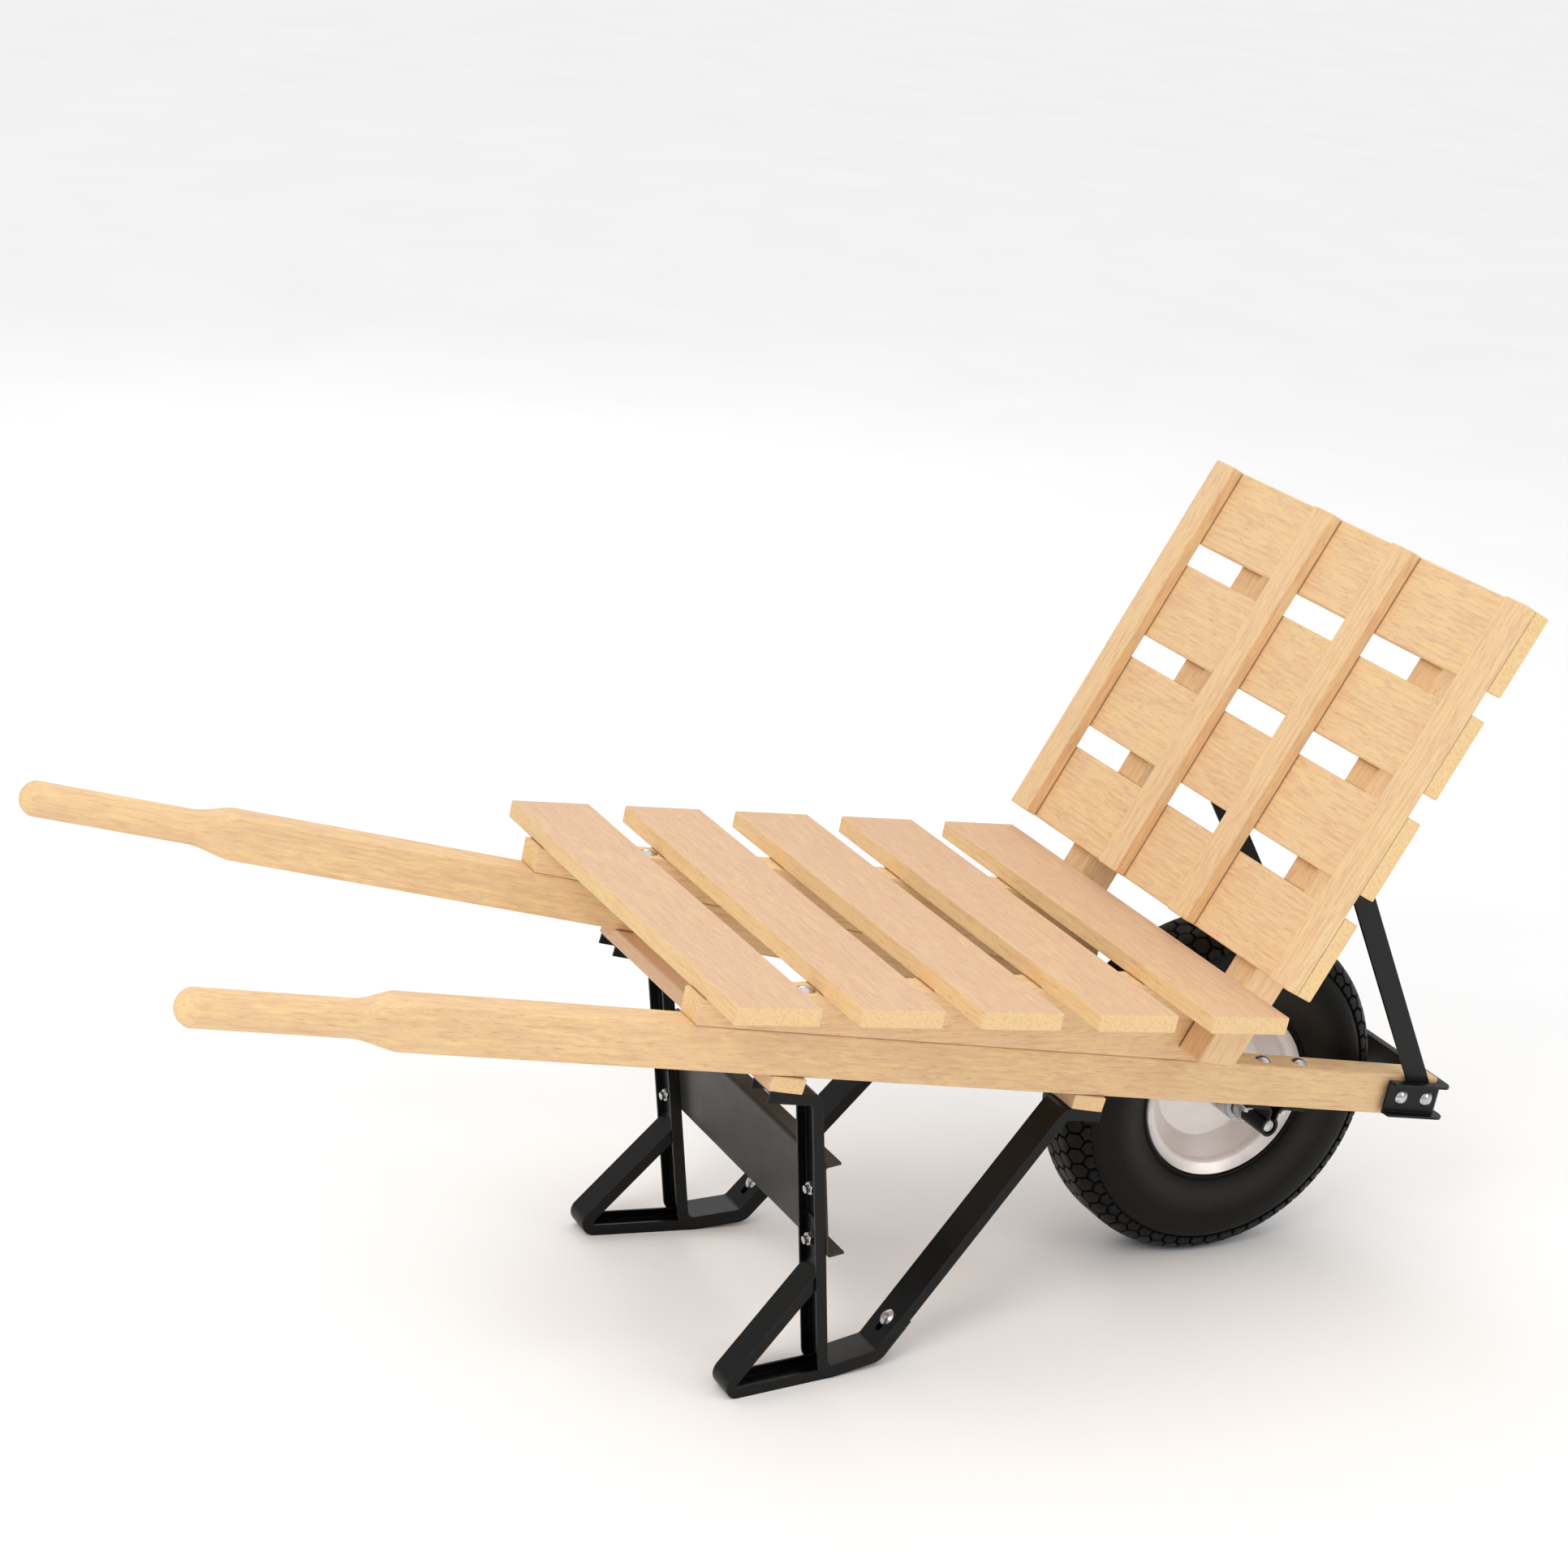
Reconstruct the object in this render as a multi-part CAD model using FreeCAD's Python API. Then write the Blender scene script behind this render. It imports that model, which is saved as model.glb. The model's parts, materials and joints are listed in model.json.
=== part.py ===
import FreeCAD, Part
import math
import os

from FreeCAD import Placement, Rotation, Vector

# Single-wheel brick barrow. Millimetres and degrees.
#
# Everything is first drawn in the bed's own frame: X forward, Y to the operator's left, Z up, origin in the
# middle of the bed's top face. Left-hand pieces are drawn once and mirrored. At the end the whole barrow is
# tipped nose-down by BED_PITCH, so that the shoes and the tyre stand on Z = 0, and centred on X = Y = 0.

# Bed slats
SLAT_COUNT = 5
SLAT_LENGTH = 555.5
SLAT_WIDTH = 88.9
SLAT_THICKNESS = 18.6
SLAT_PITCH = 131.3
BED_REAR_X = -311.7
WOOD_EASE = 1.6

# Handles: two straight rails that run from the grips to the nose, closer together at the front
HANDLE_YAW = 7.02
HANDLE_SLOPE = 5.68
HANDLE_OUTER_Y = 178.0
HANDLE_TOP_Z = -75.6
HANDLE_HEIGHT = 45.7
HANDLE_THICKNESS = 35.6
HANDLE_FRONT_X = 668.0
SHOULDER_X = -617.0
NECK_X = -668.0
GRIP_END_X = -838.0
GRIP_DIAMETER = 35.6
DOME_RADIUS = 18.2
NECK_SECTIONS = 7
NECK_RELIEF = 0.2
NECK_OVERLAP = 3.0
SHOULDER_MARGIN = 0.5
HANDLE_EASE = 2.5

# Risers: long wedges that lift the level bed off the sloping handles
RISER_REAR_X = -317.0
RISER_FRONT_X = 331.0

# Dash: boards and battens on two posts, leaning forward over the wheel
DASH_LEAN = 21.86
DASH_FOOT_X = 305.0
DASH_FOOT_Z = 23.0
BOARD_COUNT = 4
BOARD_LENGTH = 552.9
BOARD_WIDTH = 88.9
BOARD_GAP = 27.3
BOARD_THICKNESS = 19.3
BATTEN_WIDTH = 34.7
BATTEN_THICKNESS = 14.9
BATTEN_INNER_Y = 69.9
POST_WIDTH = 38.1
POST_DEPTH = 44.5
POST_INNER_Y = 143.9
POST_FOOT_RISE = 14.0
POST_BLANK_DROP = 160.0

# Crossbars under the handles
CROSSBAR_WIDTH = 38.1
CROSSBAR_THICKNESS = 16.0
CROSSBAR_OVERHANG = 1.8
REAR_CROSSBAR_X = -198.5
FRONT_CROSSBAR_X = 179.8

# Steel channel that the legs, shoes and nose bar are pressed from
CHANNEL_WIDTH = 38.1
CHANNEL_DEPTH = 12.0
SHEET = 2.5
NEST_GAP = 0.2

# Leg: one bent channel per side; these points are on the web, in the bed frame's XZ plane
LEG_REAR_END_X = -216.0
LEG_KNEE_X = -153.9
LEG_HEEL = (-74.6, -421.6)
LEG_TOE = (-18.3, -408.6)
LEG_HIP_X = 152.0
LEG_FRONT_END_X = 201.0
LEG_BENDS = (16.0, 6.0, 6.0, 14.0)

# Shoe: the skid that closes the leg into a foot
SHOE_TOP_REACH = 171.0
SHOE_BEND_REACH = 118.0
SHOE_CHEEK_FOOT = 39.0
SOLE_DROP = 4.5
SHOE_HEEL_X = -208.0
SHOE_BENDS = (8.0, 15.0, 30.0, 20.5)
SHOE_TOE_REACH = 50.0
SHOE_BOLT_REACH = 31.0
SHOE_SLOT_LENGTH = 22.0

# Brace between the legs
BRACE_HEIGHT = 102.0
BRACE_DEPTH = 19.0
BRACE_BEND = 4.5
BRACE_END_Y = 192.5
BRACE_MIDDLE_Z = -249.4
BRACE_BOLT_SPACING = 57.0
BRACE_BOLT_DROP = 8.0

# Nose bar, wrapped round the front ends of the handles, flanges outward
NOSE_REAR_X = 590.0
NOSE_BEND = 5.0
NOSE_PLAY = 0.3
NOSE_BOLT_X = (611.9, 649.6)

# Flat bars from the nose to the posts
DASH_BRACE_WIDTH = 25.4
DASH_BRACE_THICKNESS = 3.5
DASH_BRACE_TOP = (407.0, 168.0)
DASH_BRACE_PLAY = 0.85

# Wheel and axle
AXLE_X = 438.0
AXLE_DROP = 23.0
AXLE_DIAMETER = 16.0
AXLE_HALF_LENGTH = 121.5
WHEEL_RADIUS = 191.0
TREAD_HALF_WIDTH = 16.0
# Middle and outer end of the tread's rounded shoulder, as radius and distance from the wheel's middle
TREAD_SHOULDER = (184.5, 34.2)
TREAD_EDGE = (168.0, 44.0)
TYRE_HALF_WIDTH = 49.0
CASING = 7.0
CROWN_THICKNESS = 9.0
BULGE_RADIUS = 145.8
RIM_LIP_RADIUS = 97.0
RIM_SEAT_RADIUS = 84.5
RIM_WELL_RADIUS = 64.0
RIM_HALF_WIDTH = 36.0
RIM_SHEET = 2.4
RIM_SEAT_Y = (22.0, 29.0)
RIM_LIP_Y = 35.0
RIM_BENDS = (8.0, 6.0, 4.0)
# The tyre's bead as radius and distance from the wheel's middle, from the outer foot of the wall inward
BEAD = ((100.0, 38.5), (97.3, 35.0), (84.6, 29.0), (84.6, 19.0), (103.0, 24.0))
TUBE_MIDDLE_RADIUS = 135.2
TUBE_HALF_HEIGHT = 43.7
TUBE_HALF_WIDTH = 33.0
TUBE_WALL = 2.0
HUB_RADIUS = 18.2
HUB_HALF_LENGTH = 70.0
BEARING_RADIUS = 15.5
BEARING_WIDTH = 11.0
RACE_WALL = 2.2
SHIELD_DEPTH = 1.2
RUNNING_CLEARANCE = 0.05
COLLAR_RADIUS = 12.0
COLLAR_PLAY = 0.3
AXLE_CHAMFER = 1.8
VALVE_ANGLE = 35.0
VALVE_Y = 11.0
VALVE_FOOT_RADIUS = 84.9
VALVE_FOOT_SIZE = (7.5, 3.0)
VALVE_BODY_RADII = (4.0, 3.2)
VALVE_BODY_LENGTH = 22.0
VALVE_TIP_RADIUS = 2.6
VALVE_LENGTH = 30.0
VALVE_HOLE_RADIUS = 4.4
CAP_RADIUS = 4.3
CAP_LENGTH = 9.0
CAP_SOCKET = 5.6

# Axle brackets: straps of sheet steel folded round the axle under each handle
STRAP = 3.0
STRAP_HALF_LENGTH = 42.0
STRAP_NECK = 3.5
STRAP_BEND = 9.0
STRAP_BOLT_SPACING = 52.8

# Fasteners
BOLT_DIAMETER = 8.0
HOLE_DIAMETER = 8.6
HEAD_RADIUS = 9.0
HEAD_HEIGHT = 4.2
NUT_FLATS = 13.0
NUT_HEIGHT = 6.5
NUT_CHAMFER = 1.5
THREAD_END = 4.0
HEAD_SINK = 1.0
SEAT_CLEARANCE = 0.6

# How far the bed tips nose-down when the barrow stands on its shoes and wheel
BED_PITCH = 6.36

REACH = 1200.0
YAW_RATE = math.tan(math.radians(HANDLE_YAW))
SLOPE_RATE = math.tan(math.radians(HANDLE_SLOPE))
SLOPE_COS = math.cos(math.radians(HANDLE_SLOPE))
SLOPE_SIN = math.sin(math.radians(HANDLE_SLOPE))
HANDLE_DOWN = Vector(-SLOPE_SIN, 0, -SLOPE_COS)
INWARD = Vector(-math.sin(math.radians(HANDLE_YAW)), -math.cos(math.radians(HANDLE_YAW)), 0)
Y_AXIS = Vector(0, 1, 0)
Z_AXIS = Vector(0, 0, 1)
ORIGIN = Vector(0, 0, 0)


# ---- Lines of the design -------------------------------------------------------------------------------

def handle_z(x, below_top=0.0):
    """Height of the line that lies below_top under the handles' top edge."""
    return HANDLE_TOP_Z - SLOPE_RATE * x - below_top


def handle_y(x, inset=0.0):
    """Distance out to the left handle's outer face, moved in by inset square to the face."""
    return HANDLE_OUTER_Y - YAW_RATE * x - inset / math.cos(math.radians(HANDLE_YAW))


AXLE_Z = handle_z(AXLE_X, HANDLE_HEIGHT) - AXLE_DROP / SLOPE_COS


def floor_z(x):
    """Height of the ground under the bed frame's X, which touches the tyre."""
    pitch = math.radians(BED_PITCH)
    return AXLE_Z - WHEEL_RADIUS / math.cos(pitch) + math.tan(pitch) * (x - AXLE_X)


# ---- Flat outlines in the XZ plane ----------------------------------------------------------------------

def flat(point):
    return Vector(point[0], 0, point[1])


def heading(start, end):
    """Unit direction from one outline point to the next."""
    length = math.hypot(end[0] - start[0], end[1] - start[1])
    return ((end[0] - start[0]) / length, (end[1] - start[1]) / length)


def moved(point, direction, distance):
    return (point[0] + direction[0] * distance, point[1] + direction[1] * distance)


def left_of(direction):
    return (-direction[1], direction[0])


def cross(first, second):
    return first[0] * second[1] - first[1] * second[0]


def meet(start_a, along_a, start_b, along_b):
    """Where two lines, each a point and a direction, cross."""
    between = (start_b[0] - start_a[0], start_b[1] - start_a[1])
    return moved(start_a, along_a, cross(between, along_b) / cross(along_a, along_b))


def offset_path(points, distance):
    """The open path moved sideways, to its left for a positive distance, with sharp corners."""
    headings = [heading(start, end) for start, end in zip(points, points[1:])]
    result = [moved(points[0], left_of(headings[0]), distance)]
    for corner, before, after in zip(points[1:-1], headings, headings[1:]):
        start = moved(corner, left_of(before), distance)
        end = moved(corner, left_of(after), distance)
        result.append(meet(start, before, end, after))
    result.append(moved(points[-1], left_of(headings[-1]), distance))
    return result


def rounded_edges(points, radii):
    """Edges of an open path whose inner corners are arcs of the given radii."""
    edges = []
    start = flat(points[0])
    for before, corner, after, radius in zip(points, points[1:], points[2:], radii):
        back = flat(heading(corner, before))
        ahead = flat(heading(corner, after))
        half_turn = 0.5 * (math.pi - back.getAngle(ahead))
        tangent = radius * math.tan(half_turn)
        arc_start = flat(corner) + back * tangent
        arc_end = flat(corner) + ahead * tangent
        middle = flat(corner) + (back + ahead).normalize() * radius * (1 / math.cos(half_turn) - 1)
        edges.append(Part.makeLine(start, arc_start))
        edges.append(Part.Arc(arc_start, middle, arc_end).toShape())
        start = arc_end
    edges.append(Part.makeLine(start, flat(points[-1])))
    return edges


def polygon(points):
    corners = [flat(point) for point in points]
    return Part.Face(Part.makePolygon(corners + corners[:1]))


def band(path, radii, left, right):
    """Face between two offsets of a path, whose corner radii are given on the path itself."""
    headings = [heading(start, end) for start, end in zip(path, path[1:])]
    turns = [math.copysign(1, cross(before, after)) for before, after in zip(headings, headings[1:])]
    sides = []
    for offset in (left, right):
        corner_radii = [radius - turn * offset for radius, turn in zip(radii, turns)]
        sides.append(rounded_edges(offset_path(path, offset), corner_radii))
    ends = [Part.makeLine(sides[0][0].Vertexes[0].Point, sides[1][0].Vertexes[0].Point),
            Part.makeLine(sides[0][-1].Vertexes[-1].Point, sides[1][-1].Vertexes[-1].Point)]
    return Part.Face(Part.Wire(Part.__sortEdges__(sides[0] + sides[1] + ends)))


# ---- Solids ---------------------------------------------------------------------------------------------

def across(face, start_y, end_y):
    """Extrude an XZ face from one Y to another."""
    solid = face.extrude(Vector(0, end_y - start_y, 0))
    solid.translate(Vector(0, start_y, 0))
    return solid


def side_piece(face, inset, thickness):
    """An XZ outline cut from a plate that lies parallel to the left handle, inset from its outer face."""
    plate = Part.makeBox(2 * REACH, thickness, 2 * REACH, Vector(-REACH, -inset - thickness, -REACH))
    plate.rotate(ORIGIN, Z_AXIS, -HANDLE_YAW)
    plate.translate(Vector(0, HANDLE_OUTER_Y, 0))
    return across(face, 0, REACH).common(plate)


def joined(first, others):
    return first.fuse(others).removeSplitter()


def eased(shape, radius, shortest):
    """Round every straight edge that is longer than shortest."""
    return shape.makeFillet(radius, [edge for edge in shape.Edges if edge.Length > shortest])


def mirrored(shape):
    return shape.mirror(ORIGIN, Y_AXIS)


def turned(outline):
    """Revolve an outline of (radius, y) points round the Y axis."""
    return outline.revolve(ORIGIN, Y_AXIS, 360)


def radius_y(face):
    """Stand an XZ face up so that its Z runs along Y."""
    result = face.copy()
    result.rotate(ORIGIN, Vector(1, 0, 0), -90)
    return result


def on_axle(shape):
    result = shape.copy()
    result.translate(Vector(AXLE_X, 0, AXLE_Z))
    return result


def ring(outer, inner, start_y, end_y):
    outline = polygon([(inner, start_y), (outer, start_y), (outer, end_y), (inner, end_y)])
    return turned(radius_y(outline))


def channel_on_path(path, radii, inset, width, web_side, depth):
    """A bent channel: its web lies on the path, its flanges reach out to the web_side (+1 left, -1 right)."""
    web = side_piece(band(path, radii, 0, web_side * SHEET), inset, width)
    cheek = band(path, radii, 0, web_side * depth)
    outer = side_piece(cheek, inset, SHEET)
    inner = side_piece(cheek, inset + width - SHEET, SHEET)
    return joined(web, [outer, inner])


# ---- Fasteners ------------------------------------------------------------------------------------------

def carriage_bolt(start, direction, grip):
    """Domed bolt whose head rests at start; grip is the thickness it clamps."""
    shank = Part.makeCylinder(BOLT_DIAMETER / 2, grip + NUT_HEIGHT + THREAD_END)
    ball_radius = (HEAD_RADIUS ** 2 + HEAD_HEIGHT ** 2) / (2 * HEAD_HEIGHT)
    ball = Part.makeSphere(ball_radius, Vector(0, 0, ball_radius - HEAD_HEIGHT))
    head = ball.common(Part.makeCylinder(HEAD_RADIUS, HEAD_HEIGHT, Vector(0, 0, -HEAD_HEIGHT)))
    bolt = joined(shank, [head])
    bolt.Placement = Placement(start, Rotation(Z_AXIS, direction))
    return bolt


def hex_nut(start, direction, grip):
    """Nut on the far side of the grip, bored to the bolt's own diameter."""
    corner = NUT_FLATS / math.sqrt(3)
    angles = [math.radians(60 * turn) for turn in range(7)]
    corners = [Vector(corner * math.cos(angle), corner * math.sin(angle), 0) for angle in angles]
    nut = Part.Face(Part.makePolygon(corners)).extrude(Vector(0, 0, NUT_HEIGHT))
    dome = Part.makeCone(corner + NUT_HEIGHT - NUT_CHAMFER, corner - NUT_CHAMFER, NUT_HEIGHT)
    nut = nut.common(dome).cut(Part.makeCylinder(BOLT_DIAMETER / 2, NUT_HEIGHT))
    nut.Placement = Placement(start + direction * grip, Rotation(Z_AXIS, direction))
    return nut


def bolt_hole(start, direction, grip):
    hole = Part.makeCylinder(HOLE_DIAMETER / 2, grip + 2 * NUT_HEIGHT, Vector(0, 0, -HEAD_HEIGHT))
    hole.Placement = Placement(start, Rotation(Z_AXIS, direction))
    return hole


def spot_face(start, direction):
    """Shallow seat for a head that meets the wood at a slant."""
    seat = Part.makeCylinder(HEAD_RADIUS + SEAT_CLEARANCE, 2 * HEAD_HEIGHT, Vector(0, 0, -2 * HEAD_HEIGHT))
    seat.Placement = Placement(start, Rotation(Z_AXIS, direction))
    return seat


# ---- Wooden parts ---------------------------------------------------------------------------------------

def bed_slat(index):
    rear = BED_REAR_X + index * SLAT_PITCH
    corner = Vector(rear, -SLAT_LENGTH / 2, -SLAT_THICKNESS)
    return eased(Part.makeBox(SLAT_WIDTH, SLAT_LENGTH, SLAT_THICKNESS, corner), WOOD_EASE, 0)


def grip_section(x, width, height, corner):
    """Rounded rectangle square to the left handle, centred on it at station x."""
    half_w = width / 2
    half_h = height / 2
    outline = [(-half_w, 0), (-half_w, half_h), (half_w, half_h)]
    outline += [(half_w, -half_h), (-half_w, -half_h), (-half_w, 0)]
    wire = Part.Wire(Part.__sortEdges__(rounded_edges(outline, [corner] * 4)))
    along = Vector(1, -YAW_RATE, -SLOPE_RATE).normalize()
    sideways = Z_AXIS.cross(along).normalize()
    wire.Placement = Placement(handle_middle(x), Rotation(sideways, along, along.cross(sideways) * -1, "YXZ"))
    return wire


def handle_middle(x):
    """A point on the left handle's centre line."""
    return Vector(x, handle_y(x, HANDLE_THICKNESS / 2), handle_z(x, HANDLE_HEIGHT / 2))


def neck_envelope():
    """Scooped neck: a little larger than the rail at the shoulder, nearly round where it enters the grip."""
    sections = []
    for step in range(NECK_SECTIONS):
        share = step / (NECK_SECTIONS - 1)
        blend = 0.5 - 0.5 * math.cos(math.pi * share)
        width = HANDLE_THICKNESS + 2 * (SHOULDER_MARGIN - (SHOULDER_MARGIN + NECK_RELIEF) * blend)
        height = HANDLE_HEIGHT + 2 * SHOULDER_MARGIN
        height += (GRIP_DIAMETER - 2 * NECK_RELIEF - height) * blend
        corner = HANDLE_EASE + (0.495 * width - HANDLE_EASE) * blend
        x = SHOULDER_X + (NECK_X - NECK_OVERLAP - SHOULDER_X) * share
        sections.append(grip_section(x, width, height, corner))
    return Part.makeLoft(sections, True)


def handle():
    """Square rail that is scooped down to a neck, then a round grip with a domed end."""
    shoulder = handle_middle(SHOULDER_X)
    start = handle_middle(NECK_X)
    end = handle_middle(GRIP_END_X + DOME_RADIUS)
    rear = NECK_X - HANDLE_HEIGHT
    profile = polygon([(rear, handle_z(rear)), (HANDLE_FRONT_X, handle_z(HANDLE_FRONT_X)),
                       (HANDLE_FRONT_X, handle_z(HANDLE_FRONT_X, HANDLE_HEIGHT)),
                       (rear, handle_z(rear, HANDLE_HEIGHT))])
    rail = eased(side_piece(profile, 0, HANDLE_THICKNESS), HANDLE_EASE, 2 * HANDLE_HEIGHT)
    waste = Part.makeCylinder(2 * HANDLE_HEIGHT, (end - shoulder).Length, shoulder, end - shoulder)
    rail = rail.cut(waste.cut(neck_envelope()))
    grip = Part.makeCylinder(GRIP_DIAMETER / 2, (end - start).Length + DOME_RADIUS, start, end - start)
    ball = Part.makeSphere(DOME_RADIUS, end)
    around = Part.makeCylinder(GRIP_DIAMETER, (end - start).Length, start, end - start)
    return rail.fuse([grip.common(ball.fuse(around))])


def riser():
    profile = polygon([(RISER_REAR_X, -SLAT_THICKNESS), (RISER_FRONT_X, -SLAT_THICKNESS),
                       (RISER_FRONT_X, handle_z(RISER_FRONT_X)), (RISER_REAR_X, handle_z(RISER_REAR_X))])
    return side_piece(profile, 0, HANDLE_THICKNESS)


def crossbar(middle_x):
    """Flat bar under both handles, its top face on their undersides."""
    half = CROSSBAR_WIDTH / 2
    outline = [(middle_x - half, handle_z(middle_x - half, HANDLE_HEIGHT)),
               (middle_x + half, handle_z(middle_x + half, HANDLE_HEIGHT))]
    face = band(outline, [], 0, -CROSSBAR_THICKNESS)
    end_y = handle_y(middle_x) + CROSSBAR_OVERHANG
    return eased(across(face, -end_y, end_y), WOOD_EASE, 0)


def dash_point(up, back):
    """A point of the dash: up along its lean, back toward the operator from the boards' rear face."""
    lean = math.radians(DASH_LEAN)
    x = DASH_FOOT_X + up * math.sin(lean) - back * math.cos(lean)
    return (x, DASH_FOOT_Z + up * math.cos(lean) + back * math.sin(lean))


def dash_piece(bottom, top, front, back, start_y, end_y):
    corners = [dash_point(bottom, front), dash_point(bottom, back)]
    corners += [dash_point(top, back), dash_point(top, front)]
    return eased(across(polygon(corners), start_y, end_y), WOOD_EASE, 0)


def dash_board(index):
    bottom = index * (BOARD_WIDTH + BOARD_GAP)
    half = BOARD_LENGTH / 2
    return dash_piece(bottom, bottom + BOARD_WIDTH, -BOARD_THICKNESS, 0, -half, half)


DASH_HEIGHT = BOARD_COUNT * BOARD_WIDTH + (BOARD_COUNT - 1) * BOARD_GAP


def dash_batten(middle_y):
    half = BATTEN_WIDTH / 2
    return dash_piece(0, DASH_HEIGHT, 0, BATTEN_THICKNESS, middle_y - half, middle_y + half)


def dash_post():
    """Post in front of the boards; its foot is cut along the handle, just above it."""
    front = -BOARD_THICKNESS - POST_DEPTH
    corners = [dash_point(-POST_BLANK_DROP, front), dash_point(-POST_BLANK_DROP, -BOARD_THICKNESS),
               dash_point(DASH_HEIGHT, -BOARD_THICKNESS), dash_point(DASH_HEIGHT, front)]
    blank = across(polygon(corners), POST_INNER_Y, POST_INNER_Y + POST_WIDTH)
    above = polygon([(0, handle_z(0, -POST_FOOT_RISE)), (REACH, handle_z(REACH, -POST_FOOT_RISE)),
                     (REACH, REACH), (0, REACH)])
    return eased(blank.common(across(above, 0, REACH)), WOOD_EASE, 0)


# ---- Steel parts ----------------------------------------------------------------------------------------

def under_crossbar(x):
    return (x, handle_z(x, HANDLE_HEIGHT + CROSSBAR_THICKNESS / SLOPE_COS))


LEG_KNEE = under_crossbar(LEG_KNEE_X)
LEG_HIP = under_crossbar(LEG_HIP_X)
LEG_PATH = [under_crossbar(LEG_REAR_END_X), LEG_KNEE, LEG_HEEL, LEG_TOE, LEG_HIP]
LEG_PATH.append(under_crossbar(LEG_FRONT_END_X))
SHIN = heading(LEG_HEEL, LEG_KNEE)
STRUT = heading(LEG_TOE, LEG_HIP)
SHOE_INSET = SHEET + NEST_GAP
SHOE_WIDTH = CHANNEL_WIDTH - 2 * SHOE_INSET


def leg():
    return channel_on_path(LEG_PATH, LEG_BENDS, 0, CHANNEL_WIDTH, -1, CHANNEL_DEPTH)


def shoe_path():
    """Down the back of the shin, out to the heel, forward along the ground and up behind the toe."""
    web_back = offset_path(LEG_PATH, -2 * SHEET)
    sole = offset_path(LEG_PATH, -CHANNEL_DEPTH - SOLE_DROP)
    ground_start = (SHOE_HEEL_X, floor_z(SHOE_HEEL_X))
    ground = heading(ground_start, (0, floor_z(0)))
    ball = meet(ground_start, ground, sole[2], heading(sole[2], sole[3]))
    top = moved(web_back[2], SHIN, SHOE_TOP_REACH)
    bend = moved(web_back[2], SHIN, SHOE_BEND_REACH)
    toe_end = moved(sole[3], STRUT, SHOE_TOE_REACH)
    return [top, bend, ground_start, ball, sole[3], toe_end]


def shoe():
    """Channel with its web outside; the top end is a flat tab on the back of the leg's web."""
    path = shoe_path()
    web = side_piece(band(path, SHOE_BENDS, 0, SHEET), SHOE_INSET, SHOE_WIDTH)
    cheek = band(path[1:], SHOE_BENDS[1:], 0, CHANNEL_DEPTH)
    web_back = offset_path(LEG_PATH, -SHEET)
    ahead = left_of(heading(web_back[1], web_back[2]))
    low = moved(web_back[2], SHIN, SHOE_CHEEK_FOOT)
    high = moved(web_back[2], SHIN, SHOE_TOP_REACH)
    leg_side = polygon([low, high, moved(high, ahead, REACH), moved(low, ahead, REACH)])
    cheek = cheek.cut(leg_side)
    outer = side_piece(cheek, SHOE_INSET, SHEET)
    inner = side_piece(cheek, SHOE_INSET + SHOE_WIDTH - SHEET, SHEET)
    return joined(web, [outer, inner])


def brace_middle():
    return meet(LEG_HEEL, SHIN, (0, BRACE_MIDDLE_Z), (1, 0))


def leg_cross_brace():
    """Wide channel across the fronts of both shins, flanges forward."""
    ahead = (SHIN[1], -SHIN[0])
    top = moved(brace_middle(), SHIN, BRACE_HEIGHT / 2)
    bottom = moved(brace_middle(), SHIN, -BRACE_HEIGHT / 2)
    path = [moved(top, ahead, BRACE_DEPTH), top, bottom, moved(bottom, ahead, BRACE_DEPTH)]
    return across(band(path, [BRACE_BEND, BRACE_BEND], 0, SHEET), -BRACE_END_Y, BRACE_END_Y)


NOSE_COVER = DASH_BRACE_THICKNESS + 2 * DASH_BRACE_PLAY
NOSE_FRONT_X = HANDLE_FRONT_X + NOSE_PLAY


def sloped_layer(below_top, thickness):
    """Everything between two planes parallel to the handles' top."""
    path = [(0, handle_z(0, below_top)), (REACH, handle_z(REACH, below_top))]
    return across(band(path, [], 0, -thickness), -REACH, REACH)


def upright(plan_face):
    """Extrude a plan outline through the handles' height."""
    solid = plan_face.extrude(Vector(0, 0, 2 * REACH))
    solid.translate(Vector(0, 0, -REACH))
    return solid


def nose_bar():
    """Channel bent round both handle ends in plan."""
    rear_y = handle_y(NOSE_REAR_X, -NOSE_COVER)
    front_y = handle_y(NOSE_FRONT_X, -NOSE_COVER)
    path = [(NOSE_REAR_X, rear_y), (NOSE_FRONT_X, front_y)]
    path += [(NOSE_FRONT_X, -front_y), (NOSE_REAR_X, -rear_y)]
    bends = [NOSE_BEND, NOSE_BEND]
    top = (HANDLE_HEIGHT - CHANNEL_WIDTH) / 2
    web = upright(radius_y(band(path, bends, 0, SHEET)))
    flange = upright(radius_y(band(path, bends, 0, CHANNEL_DEPTH)))
    top_flange = flange.common(sloped_layer(top, SHEET))
    bottom_flange = flange.common(sloped_layer(top + CHANNEL_WIDTH - SHEET, SHEET))
    return joined(web.common(sloped_layer(top, CHANNEL_WIDTH)), [top_flange, bottom_flange])


def nose_bolt_point(x):
    """Where a nose bolt's axis passes the left handle's outer face."""
    return Vector(x, handle_y(x), handle_z(x, HANDLE_HEIGHT / 2))


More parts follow.
